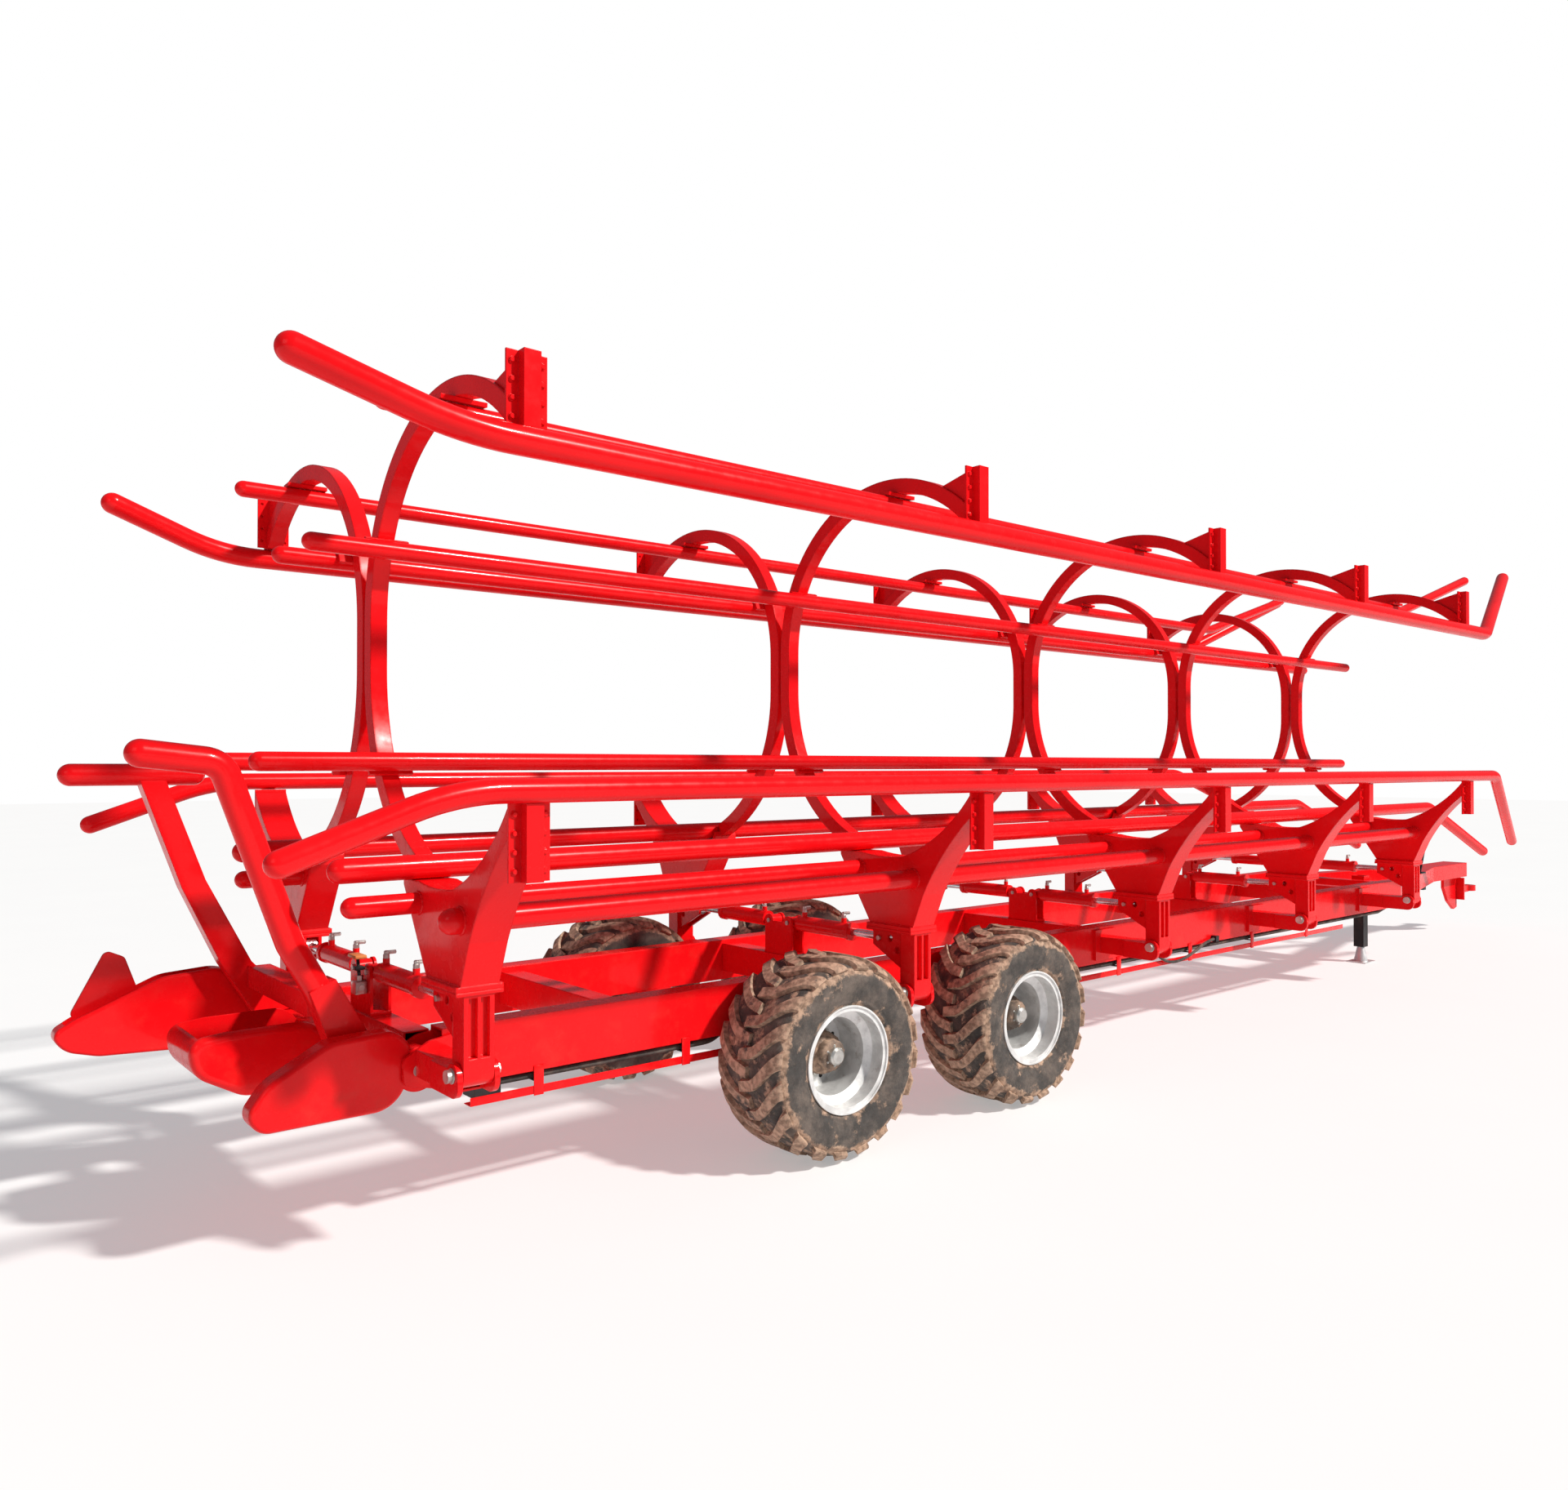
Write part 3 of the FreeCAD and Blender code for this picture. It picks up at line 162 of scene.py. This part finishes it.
# ---------------------------------------------------------------- materials
class Nodes:
    """A short way to add and link shader nodes."""

    def __init__(self, name):
        self.material = bpy.data.materials.new(name)
        self.material.use_nodes = True
        self.tree = self.material.node_tree
        self.shader = self.tree.nodes["Principled BSDF"]
        self.coords = self.tree.nodes.new("ShaderNodeTexCoord").outputs["Object"]

    def link(self, source, target):
        self.tree.links.new(source, target)

    def noise(self, scale, detail=5.0, roughness=0.55):
        node = self.tree.nodes.new("ShaderNodeTexNoise")
        node.inputs["Scale"].default_value = scale
        node.inputs["Detail"].default_value = detail
        node.inputs["Roughness"].default_value = roughness
        self.link(self.coords, node.inputs["Vector"])
        return node.outputs["Fac"]

    def between(self, value, low, high, out_low=0.0, out_high=1.0):
        node = self.tree.nodes.new("ShaderNodeMapRange")
        node.interpolation_type = "SMOOTHSTEP"
        node.inputs["From Min"].default_value = low
        node.inputs["From Max"].default_value = high
        node.inputs["To Min"].default_value = out_low
        node.inputs["To Max"].default_value = out_high
        self.link(value, node.inputs["Value"])
        return node.outputs["Result"]

    def math(self, operation, first, second):
        node = self.tree.nodes.new("ShaderNodeMath")
        node.operation = operation
        self.link(first, node.inputs[0])
        self.link(second, node.inputs[1])
        return node.outputs["Value"]

    def dried_mud(self):
        """Pale dried clay over darker damp clay."""
        damp = self.between(self.noise(38.0, 8.0), 0.35, 0.65)
        return self.mix(damp, DRIED_CLAY, DAMP_CLAY)

    def faded(self, colour):
        """Rubber that has bleached and gathered fine dust in places."""
        dusty = self.between(self.noise(7.0, 10.0, 0.75), 0.38, 0.70, 0.1, 0.85)
        return self.mix(dusty, colour, FINE_DUST)

    def mix(self, factor, first, second):
        node = self.tree.nodes.new("ShaderNodeMix")
        node.data_type = "RGBA"
        self.link(factor, node.inputs["Factor"])
        for socket, colour in ((node.inputs["A"], first), (node.inputs["B"], second)):
            if isinstance(colour, tuple):
                socket.default_value = (*colour, 1)
            else:
                self.link(colour, socket)
        return node.outputs["Result"]

    def height(self):
        node = self.tree.nodes.new("ShaderNodeSeparateXYZ")
        self.link(self.coords, node.inputs["Vector"])
        return node.outputs["Z"]

    def bump(self, value, distance, strength=0.5, round_edges=0.0):
        node = self.tree.nodes.new("ShaderNodeBump")
        node.inputs["Distance"].default_value = distance
        node.inputs["Strength"].default_value = strength
        self.link(value, node.inputs["Height"])
        if round_edges:
            bevel = self.tree.nodes.new("ShaderNodeBevel")
            bevel.samples = 4
            bevel.inputs["Radius"].default_value = round_edges
            self.link(bevel.outputs["Normal"], node.inputs["Normal"])
        self.link(node.outputs["Normal"], self.shader.inputs["Normal"])


def paint(name, colour, deep, gloss=0.20, dust=0.10, edge=0.004):
    """Sprayed paint: slow colour drift, orange peel, and road dust that thins with height."""
    n = Nodes(name)
    drift = n.between(n.noise(1.3, 3.0), 0.35, 0.65)
    base = n.mix(drift, colour, deep)
    low = n.between(n.height(), 0.15, 1.3, dust, 0.0)
    patches = n.between(n.noise(9.0, 8.0, 0.7), 0.48, 0.72)
    dusty = n.math("MULTIPLY", low, patches)
    n.link(n.mix(dusty, base, ROAD_DUST), n.shader.inputs["Base Color"])
    n.link(n.between(n.noise(22.0), 0.3, 0.75, gloss, gloss + 0.12), n.shader.inputs["Roughness"])
    n.shader.inputs["Specular IOR Level"].default_value = 0.12
    n.shader.inputs["Coat Weight"].default_value = 0.14
    n.shader.inputs["Coat Roughness"].default_value = 0.06
    n.bump(n.noise(120.0, 2.0), 0.0004, 0.12, edge)
    return n.material


def metal(name, colour, roughness, scale=60.0, spots=0.0, metallic=0.9, edge=0.002):
    """Bare or plated steel: cloudy brightness, with rusty stains where `spots` is above nought."""
    n = Nodes(name)
    cloud = n.between(n.noise(scale * 0.2), 0.35, 0.7)
    base = n.mix(cloud, colour, tuple(c * 0.72 for c in colour))
    stains = n.between(n.noise(14.0, 8.0, 0.7), 0.55, 0.75, 0.0, spots)
    n.link(n.mix(stains, base, RUST), n.shader.inputs["Base Color"])
    n.shader.inputs["Metallic"].default_value = metallic
    n.link(n.between(n.noise(scale), 0.3, 0.7, roughness, roughness + 0.2), n.shader.inputs["Roughness"])
    n.bump(n.noise(scale * 4), 0.0004, 0.3, edge)
    return n.material


def rubber(name, colour, mud_amount):
    """Black rubber with dried mud that gathers in patches."""
    n = Nodes(name)
    grime = n.between(n.noise(6.5, 9.0, 0.68), 0.62 - mud_amount * 0.28, 0.74 - mud_amount * 0.12)
    n.link(n.mix(grime, n.faded(colour), n.dried_mud()), n.shader.inputs["Base Color"])
    n.link(n.between(n.noise(30.0), 0.3, 0.7, 0.68, 0.95), n.shader.inputs["Roughness"])
    n.bump(n.noise(85.0, 8.0, 0.7), 0.003, 0.5)
    return n.material


def muddy_rubber(name, colour):
    """Tyre rubber whose mesh says, point by point, how much mud sticks to it, with less between the
    tread bars so that the gaps show painted shade.
    """
    n = Nodes(name)
    coverage = n.tree.nodes.new("ShaderNodeAttribute")
    coverage.attribute_name = MUD_AND_GAP_SHADE
    wanted = n.between(coverage.outputs["Fac"], 0.0, 1.0, 0.34, 0.70)
    clumps = n.between(n.math("SUBTRACT", wanted, n.noise(11.0, 10.0, 0.72)), -0.05, 0.07)
    n.link(n.mix(clumps, n.faded(colour), n.dried_mud()), n.shader.inputs["Base Color"])
    n.link(n.between(n.noise(30.0), 0.3, 0.7, 0.72, 0.96), n.shader.inputs["Roughness"])
    n.bump(n.noise(60.0, 10.0, 0.75), 0.005, 0.6)
    return n.material


def make_materials():
    red, deep_red = (0.88, 0.006, 0.009), (0.76, 0.004, 0.007)
    return {
        "red_paint": paint("red_paint", red, deep_red),
        "red_tube": paint("red_tube", red, deep_red, edge=0.010),
        "tyre_rubber": muddy_rubber("tyre_rubber", (0.030, 0.029, 0.028)),
        "rim_silver": metal("rim_silver", (0.80, 0.80, 0.79), 0.34, spots=0.5, metallic=0.35),
        "hub_brown": rubber("hub_brown", (0.060, 0.038, 0.028), 0.75),
        "black_paint": paint("black_paint", (0.012, 0.012, 0.014), (0.02, 0.02, 0.022), 0.35, 0.1),
        "galvanised": metal("galvanised", (0.72, 0.73, 0.74), 0.42, 30.0, 0.2),
        "zinc_steel": metal("zinc_steel", (0.62, 0.61, 0.58), 0.30, 80.0, 0.3),
        "hose_rubber": rubber("hose_rubber", (0.014, 0.014, 0.015), 0.0),
        "chrome_rod": metal("chrome_rod", (0.85, 0.86, 0.88), 0.08, 90.0, 0.05),
        "tap_orange": paint("tap_orange", (0.80, 0.33, 0.12), (0.62, 0.22, 0.07), 0.35),
    }


TUBE_WORDS = ("beam", "members", "hoops", "posts", "pedestals", "drawbar", "shoe", "arm", "crossbar")


def dress_frame():
    """Give every CAD node the material of its slot; rolled tube has rounder edges than cut plate."""
    slots = {part["node"]: part["material_slot"] for part in frame["record"]["subparts"]}
    for name, node in frame["nodes"].items():
        material = slots[name]
        if material == "red_paint" and any(word in name for word in TUBE_WORDS):
            material = "red_tube"
        node.data.materials.clear()
        node.data.materials.append(MATERIALS[material])


# ---------------------------------------------------------------- mesh helpers
def piece(name, mesh, material, body, smooth=0.6):
    """Turn a bmesh into an object that rides on a body."""
    data = bpy.data.meshes.new(name)
    bmesh.ops.recalc_face_normals(mesh, faces=mesh.faces)
    mesh.to_mesh(data)
    mesh.free()
    data.materials.append(MATERIALS[material])
    for face in data.polygons:
        face.use_smooth = True
    data.set_sharp_from_angle(angle=smooth)
    made = bpy.data.objects.new(name, data)
    link_to_scene(made)
    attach(made, body)
    return made


def circle(radius, sides, phase=0.0):
    """Corners of a regular polygon about nought."""
    turns = [2 * math.pi * k / sides + phase for k in range(sides)]
    return [(radius * math.cos(turn), radius * math.sin(turn)) for turn in turns]


def ring_of(mesh, centre, across, up, points):
    """A loop of vertices in the plane of two directions."""
    return [mesh.verts.new(centre + across * a + up * b) for a, b in points]


def skin(mesh, rings, close_ends=True, around=False):
    """Join successive loops of vertices with faces."""
    pairs = list(zip(rings, rings[1:]))
    if around:
        pairs.append((rings[-1], rings[0]))
    for first, second in pairs:
        count = len(first)
        for i in range(count):
            j = (i + 1) % count
            mesh.faces.new((first[i], first[j], second[j], second[i]))
    if close_ends and not around:
        mesh.faces.new(list(reversed(rings[0])))
        mesh.faces.new(rings[-1])


def turned(mesh, profile, centre, axis, count=48):
    """A closed (radius, along) profile turned about an axis."""
    axis = Vector(axis).normalized()
    side = axis.orthogonal().normalized()
    rings = []
    for step in range(count):
        out = Matrix.Rotation(2 * math.pi * step / count, 3, axis) @ side
        rings.append([mesh.verts.new(Vector(centre) + out * r + axis * a) for r, a in profile])
    skin(mesh, rings, close_ends=False, around=True)


def polygon_bar(mesh, centre, axis, length, radius, sides, chamfer, phase=0.0):
    """A bolt head, washer or boss: a prism with a chamfered outer end."""
    axis = Vector(axis).normalized()
    across = axis.orthogonal().normalized()
    up = axis.cross(across)
    rings = []
    for along, scale in ((0, 1), (length - chamfer, 1), (length, 1 - chamfer / radius)):
        points = circle(radius * scale, sides, phase)
        rings.append(ring_of(mesh, Vector(centre) + axis * along, across, up, points))
    skin(mesh, rings)


def bolt(mesh, place, axis, radius):
    """Washer, hexagon head and the end of the shank."""
    axis = Vector(axis)
    polygon_bar(mesh, place, axis, radius * 0.22, radius * 1.35, 20, radius * 0.06)
    polygon_bar(mesh, Vector(place) + axis * radius * 0.2, axis, radius * 0.75, radius, 6,
                radius * 0.16, random.uniform(0, 1))


def rounded_box(mesh, low, high, bevel):
    """A box with chamfered edges, added to the mesh."""
    low, high = Vector(low), Vector(high)
    made = bmesh.ops.create_cube(mesh, size=1.0)
    for vertex in made["verts"]:
        vertex.co = Vector([(l + h) / 2 + c * (h - l) for l, h, c in zip(low, high, vertex.co)])
    edges = list({edge for vertex in made["verts"] for edge in vertex.link_edges})
    bmesh.ops.bevel(mesh, geom=edges, offset=bevel, segments=2, affect="EDGES", profile=0.5)


def bar_along(mesh, points, radii, sides):
    """A round bar along a line of points, with its own radius at each and flat ends."""
    rings = []
    for index, (point, radius) in enumerate(zip(points, radii)):
        ahead = points[min(index + 1, len(points) - 1)] - points[max(index - 1, 0)]
        across = ahead.normalized().orthogonal().normalized()
        up = ahead.normalized().cross(across)
        rings.append(ring_of(mesh, point, across, up, circle(radius, sides)))
    skin(mesh, rings)


def bead(mesh, points, radius):
    """A weld bead: a thin uneven bar, half sunk in the seam that it follows."""
    radii = [radius * (1 + 0.22 * math.sin(index * 2.4) + random.uniform(-0.08, 0.08))
             for index in range(len(points))]
    bar_along(mesh, points, radii, 8)


def tube(mesh, points, radius):
    bar_along(mesh, points, [radius] * len(points), 12)


# ---------------------------------------------------------------- wheels
def carcass(share):
    """(distance from the middle, radius) on the tyre's outside; share is 0 to 1, bead to bead."""
    angle = math.radians(-60 + 300 * share)
    reach, lift = math.cos(angle), math.sin(angle)
    widest = TYRE_HALF_WIDTH - 0.004
    if lift > 0:
        across = math.copysign(abs(reach) ** 0.5, reach) * widest
        return across, WIDEST_RADIUS + CROWN_RISE * lift ** 0.62
    depth = -lift / math.sin(math.radians(60))
    across = widest - (widest - BEAD_OUT) * depth ** 1.7
    return math.copysign(across, reach), WIDEST_RADIUS - (WIDEST_RADIUS - BEAD_RADIUS) * depth


def wall_rib(radius):
    """Low moulded rings on the sidewall: a rim guard and a ring below the shoulder."""
    guard = 0.004 * math.exp(-((radius - 0.262) / 0.005) ** 2)
    ring = 0.0025 * math.exp(-((radius - 0.385) / 0.004) ** 2)
    return guard + ring


def add_mud(tyre, centre, level):
    """Store how muddy each point is; `level` reads (distance from the middle, radius)."""
    attribute = tyre.data.attributes.new(MUD_AND_GAP_SHADE, "FLOAT", "POINT")
    for index, vertex in enumerate(tyre.data.vertices):
        offset = vertex.co - centre
        attribute.data[index].value = level(abs(offset.y), math.hypot(offset.x, offset.z))


def wall_mud_and_gap_shade(across, radius):
    """Thick on the shoulder, thin on the middle of the sidewall and between the tread bars; the barer,
    darker gaps between the bars are painted shade.
    """
    shoulder = math.exp(-((radius - 0.400) / 0.022) ** 2)
    # Less mud here than on the bars, so the gaps between the tread bars stay darker: painted shade.
    tread = 0.18 if across < 0.17 else 0.0
    bead_dirt = 0.30 * math.exp(-((radius - 0.25) / 0.02) ** 2)
    return min(1.0, 0.20 + 0.42 * shoulder + tread + bead_dirt)


def make_carcass(name, centre, body):
    """The tyre without its bars: an outside skin, and an inside that follows it more coarsely."""
    mesh = bmesh.new()
    outside = []
    for step in range(CARCASS_STEPS + 1):
        across, radius = carcass(step / CARCASS_STEPS)
        outside.append((across + math.copysign(wall_rib(radius), across), radius))
    inside = [(a * 0.90, WIDEST_RADIUS + (r - WIDEST_RADIUS) * 0.86)
              for a, r in reversed(outside[::4])]
    turned(mesh, [(r, a) for a, r in outside + inside], centre, (0, 1, 0), 120)
    tyre = piece(name, mesh, "tyre_rubber", body, 0.9)
    add_mud(tyre, Vector(centre), wall_mud_and_gap_shade)
    return tyre


def bar_section(along, flank, turn):
    """One cross section of a tread bar: four (radius, across, angle) corners, base to top to base."""
    share = 0.503 - 0.205 * along
    sweep = turn + 0.34 * (1 - along) ** 1.7
    tall = LUG_HEIGHT * min(1.0, (1.10 - along) / 0.12)
    half = 0.026 + 0.013 * along
    across, radius = carcass(share)
    next_across, next_radius = carcass(share - 0.004)
    slope = Vector((next_across - across, next_radius - radius)).normalized()
    outward = Vector((slope.y, -slope.x))
    if outward.y < 0:
        outward = -outward
    corners = []
    for side, lift in ((-1.15, -0.35), (-0.9, 1.0), (0.9, 1.0), (1.15, -0.35)):
        r = min(radius + outward.y * tall * lift, TYRE_RADIUS - BAR_MARGIN)
        a = min(across + outward.x * tall * lift, TYRE_HALF_WIDTH - BAR_MARGIN)
        corners.append((r, a * flank, sweep + side * half / radius))
    return corners


def bar_mud(across, radius):
    """Muddier towards the shoulder, at any radius."""
    return 0.55 + 0.35 * min(1.0, across / 0.20)


def make_lugs(name, centre, body):
    """Curved tread bars from the middle of the tread to the shoulder, staggered left and right."""
    mesh = bmesh.new()
    centre = Vector(centre)
    for flank, stagger in ((1, 0.0), (-1, 0.5)):
        for index in range(LUG_COUNT):
            turn = 2 * math.pi * (index + stagger) / LUG_COUNT
            rings = []
            for step in range(LUG_STEPS + 1):
                section = bar_section(step / LUG_STEPS, flank, turn)
                rings.append([mesh.verts.new(centre + Vector((r * math.cos(t), a, r * math.sin(t))))
                              for r, a, t in section])
            skin(mesh, rings)
    lugs = piece(name, mesh, "tyre_rubber", body, 0.5)
    add_mud(lugs, centre, bar_mud)


def around(centre, radius, count, phase=0.0):
    """Points evenly spaced on a circle about an axle."""
    for k in range(count):
        turn = 2 * math.pi * (k + phase) / count
        yield centre + Vector((math.cos(turn), 0, math.sin(turn))) * radius


def make_hub_dirt(body, disc, outward):
    """The muddy hub: a flange on the disc, a lumpy barrel and a grease cap's collar."""
    mesh = bmesh.new()
    side = outward.orthogonal().normalized()
    rings = []
    for along, radius in HUB_PROFILE:
        ring = []
        for k in range(HUB_SIDES):
            out = Matrix.Rotation(2 * math.pi * k / HUB_SIDES, 3, outward) @ side
            lump = 1 + 0.035 * math.sin(3 * k + 40 * along) + random.uniform(-0.02, 0.02)
            ring.append(mesh.verts.new(disc + outward * along + out * radius * lump))
        rings.append(ring)
    skin(mesh, rings)
    piece(f"{body}_hub_dirt", mesh, "hub_brown", body, 0.9)


def make_wheel(side, sign, end, x):
    """Tyre and bars in place of the CAD tyre; hub dirt, nuts, and black discs on the CAD wheel that are
    painted shade for its vent holes.
    """
    body = f"{side}_{end}_wheel"
    centre = Vector((x, sign * WHEEL_OUT, TYRE_RADIUS))
    tyre = make_carcass(f"{body}_carcass", centre, body)
    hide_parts(f"{side}_{end}_tyre")
    make_lugs(f"{body}_lugs", centre, body)
    outward = Vector((0, sign, 0))
    disc = centre - outward * DISC_INSET
    make_hub_dirt(body, disc, outward)
    mesh = bmesh.new()
    for spot in around(disc + outward * 0.015, NUT_CIRCLE, 8):
        bolt(mesh, spot, outward, 0.012)
    cap = disc + outward * HUB_LENGTH
    polygon_bar(mesh, cap, outward, 0.030, 0.041, 32, 0.010)
    for spot in around(cap, CAP_BOLT_CIRCLE, 6, 0.5):
        bolt(mesh, spot, outward, 0.0045)
    piece(f"{body}_nuts", mesh, "zinc_steel", body)
    # Thin black discs on the wheel disc: painted shade standing in for the dark vent holes.
    mesh = bmesh.new()
    for spot in around(disc + outward * 0.0005, VENT_CIRCLE, 8, 0.5):
        polygon_bar(mesh, spot, outward, 0.0012, 0.011, 20, 0.0004)
    piece(f"{body}_vent_hole_shade", mesh, "black_paint", body)


# ---------------------------------------------------------------- cages
def make_fasteners(side, sign):
    """Painted hexagon bolts in the rail brackets, and the steel pins through the rod ends."""
    body = side + "_cage"
    mesh = bmesh.new()
    for x in STATIONS:
        for face, bottom in BRACKET_ROWS:
            for dx in (-BRACKET_BOLT_OFFSET, BRACKET_BOLT_OFFSET):
                for step in range(4):
                    height = bottom + BRACKET_LENGTH * (0.14 + 0.24 * step)
                    bolt(mesh, Vector((x + dx, sign * face, height)), (0, sign, 0), 0.010)
    bolts = piece(side + "_bracket_bolts", mesh, "red_paint", body)
    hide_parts(side + "_cage_fasteners")
    mesh = bmesh.new()
    for x in STATIONS:
        start = (x - ROD_PIN_REACH, sign * ROD_PIN_OUT, ROD_PIN_HEIGHT)
        polygon_bar(mesh, start, (1, 0, 0), 2 * ROD_PIN_REACH, 0.012, 24, 0.002)
    piece(side + "_rod_pins", mesh, "zinc_steel", body)


def weld_ring(mesh, centre, ring_radius, radius):
    """A lumpy weld all round a tube that runs fore and aft."""
    rings = []
    count = 40
    for k in range(count):
        turn = 2 * math.pi * k / count
        out = Vector((0, math.cos(turn), math.sin(turn)))
        swell = radius * (1 + 0.30 * math.sin(k * 2.2) + random.uniform(-0.1, 0.1))
        place = centre + out * ring_radius
        rings.append(ring_of(mesh, place, out, Vector((1, 0, 0)), circle(swell, 8)))
    skin(mesh, rings, around=True)


def make_collars(side, sign):
    """Weld rings where the bed rails pass through the pedestals."""
    mesh = bmesh.new()
    for x in STATIONS:
        for dx in (-PEDESTAL_HALF, PEDESTAL_HALF):
            for out, height, radius in BED_RAIL_HOLES:
                weld_ring(mesh, Vector((x + dx, sign * out, height)), radius, 0.005)
    piece(side + "_rail_collars", mesh, "red_paint", side + "_cage")


def make_pin_nuts(side, sign):
    """Nuts and washers on the cage hinge pins."""
    mesh = bmesh.new()
    for x in STATIONS:
        for ahead in (-1, 1):
            place = Vector((x + ahead * HINGE_NUT_REACH, sign * HINGE_OUT, HINGE_HEIGHT))
            bolt(mesh, place, (ahead, 0, 0), 0.021)
    piece(side + "_hinge_nuts", mesh, "zinc_steel", "chassis")


# Straight seams of one station: (x each side, start (out, height), end (out, height), points, radius)
SEAMS = ((0.074, (0.775, 1.021), (1.055, 1.021), 25, 0.005),       # pedestal base
         (0.058, (0.965, 0.985), (1.055, 0.985), 9, 0.005),        # post under its flange
         (0.036, (0.5445, 1.390), (0.554, 1.4113333), 3, 0.004))   # hoop on its pedestal


def make_welds(side, sign):
    """Beads round the pedestal base, along the post and where each hoop meets its pedestal."""
    mesh = bmesh.new()
    for x in STATIONS:
        for half, start, end, count, radius in SEAMS:
            for dx in (-half, half):
                points = [Vector((x + dx, sign * (start[0] + (end[0] - start[0]) * k / (count - 1)),
                                  start[1] + (end[1] - start[1]) * k / (count - 1)))
                          for k in range(count)]
                bead(mesh, points, radius)
    piece(side + "_welds", mesh, "red_paint", side + "_cage")


# ---------------------------------------------------------------- hoses and fittings
def make_hose():
    """The slack hose under the right beam, on one smooth curve."""
    curve = bpy.data.curves.new("slack_hose", "CURVE")
    curve.dimensions = "3D"
    curve.bevel_depth = HOSE_RADIUS
    curve.bevel_resolution = 5
    curve.use_fill_caps = True
    spline = curve.splines.new("NURBS")
    spline.points.add(len(HOSE_ROUTE) - 1)
    for point, (x, z) in zip(spline.points, HOSE_ROUTE):
        point.co = (x, -HOSE_OUT, z, 1)
    spline.order_u = 3
    spline.use_endpoint_u = True
    spline.resolution_u = 12
    curve.materials.append(MATERIALS["hose_rubber"])
    hose = bpy.data.objects.new("slack_hose", curve)
    link_to_scene(hose)
    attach(hose, "chassis")
    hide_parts("hanging_hose")


def make_ram_ports(side, sign):
    """Plated elbows on the two ports of each barrel."""
    body = side + "_ram_barrels_body"
    up = Vector((0, 0, 1))
    mesh = bmesh.new()
    for x in STATIONS:
        for out in PORTS_OUT:
            place = Vector((x, sign * out, PORT_HEIGHT))
            polygon_bar(mesh, place, up, 0.020, 0.013, 6, 0.002)
            polygon_bar(mesh, place + 0.018 * up, up, 0.016, 0.010, 20, 0.003)
            polygon_bar(mesh, place + Vector((0.006, 0, 0.026)), (1, 0, 0), 0.034, 0.009, 6, 0.002)
    piece(side + "_ports", mesh, "zinc_steel", body)


def make_rear_valve():
    """A shut-off tap with an orange handle on the rear ram stand."""
    mesh = bmesh.new()
    rounded_box(mesh, (-5.690, -0.090, 0.850), (-5.6395, -0.030, 0.905), 0.006)
    polygon_bar(mesh, (-5.665, -0.060, 0.905), (0, 0, 1), 0.022, 0.017, 6, 0.003)
    polygon_bar(mesh, (-5.665, -0.092, 0.878), (0, 1, 0), 0.064, 0.014, 6, 0.003)
    piece("rear_valve", mesh, "zinc_steel", "chassis")
    mesh = bmesh.new()
    polygon_bar(mesh, (-5.665, -0.060, 0.925), (0, 0.25, 1), 0.075, 0.007, 16, 0.001)
    rounded_box(mesh, (-5.685, -0.075, 0.948), (-5.645, -0.035, 0.964), 0.004)
    piece("rear_valve_stem", mesh, "black_paint", "chassis")
    mesh = bmesh.new()
    rounded_box(mesh, (-5.690, -0.085, 0.996), (-5.640, 0.010, 1.012), 0.006)
    piece("rear_valve_handle", mesh, "tap_orange", "chassis")


def make_tray():
    """The strip below the pipes, with a strap up to the beam at each of their clips."""
    mesh = bmesh.new()
    outer, low, strap_top = -0.6225, 0.456, 0.572
    for start, end in PIPE_RUNS:
        rounded_box(mesh, (start, outer, low), (end, outer + 0.004, low + 0.034), 0.001)
        rounded_box(mesh, (start, outer + 0.002, low), (end, outer + 0.060, low + 0.004), 0.001)
    for x in STRAPS:
        corner = (x - 0.022, outer - 0.003, low - 0.006)
        rounded_box(mesh, corner, (x + 0.022, outer + 0.001, strap_top), 0.001)
    piece("pipe_tray", mesh, "red_paint", "chassis")


def make_hose_rest():
    """The black hose rest that stands on the drawbar."""
    mesh = bmesh.new()
    foot = Vector((4.560, -0.280, 0.7395))
    half_plate = Vector((0.060, 0.045, 0))
    rounded_box(mesh, foot - half_plate, foot + half_plate + Vector((0, 0, 0.012)), 0.002)
    tube(mesh, [foot + Vector((0.13 * t, 0, 0.27 * t)) for t in (0, 0.35, 0.7, 1.0)], 0.020)
    top = foot + Vector((0.13, 0, 0.27))
    hook = ((0.03, -0.01), (-0.05, 0.025), (-0.10, 0.015), (-0.125, -0.02), (-0.13, -0.07))
    tube(mesh, [top + Vector((dx, 0, dz)) for dx, dz in hook], 0.018)
    piece("hose_rest", mesh, "black_paint", "chassis")


def make_floor():
    """A plain pale floor that glows a little, so that shadows and the red it reflects stay faint."""
    mesh = bmesh.new()
    reach, height = 60.0, -0.001
    corners = ((-reach, -reach), (reach, -reach), (reach, reach), (-reach, reach))
    mesh.faces.new([mesh.verts.new((x, y, height)) for x, y in corners])
    data = bpy.data.meshes.new("floor")
    mesh.to_mesh(data)
    mesh.free()
    n = Nodes("pale_floor")
    tone = n.mix(n.noise(0.6), (0.62, 0.62, 0.62), (0.59, 0.59, 0.595))
    n.link(tone, n.shader.inputs["Base Color"])
    n.shader.inputs["Roughness"].default_value = 0.9
    n.shader.inputs["Emission Color"].default_value = WHITE
    n.shader.inputs["Emission Strength"].default_value = 0.35
    data.materials.append(n.material)
    floor = bpy.data.objects.new("floor", data)
    link_to_scene(floor)


make_camera()
MATERIALS = make_materials()
make_hose()
make_lights()
make_floor()
dress_frame()
for side_name, side_sign in SIDES:
    for end_name, wheel_x in WHEELS:
        make_wheel(side_name, side_sign, end_name, wheel_x)
    make_fasteners(side_name, side_sign)
    make_welds(side_name, side_sign)
    make_collars(side_name, side_sign)
    make_pin_nuts(side_name, side_sign)
    make_ram_ports(side_name, side_sign)
make_rear_valve()
make_tray()
make_hose_rest()
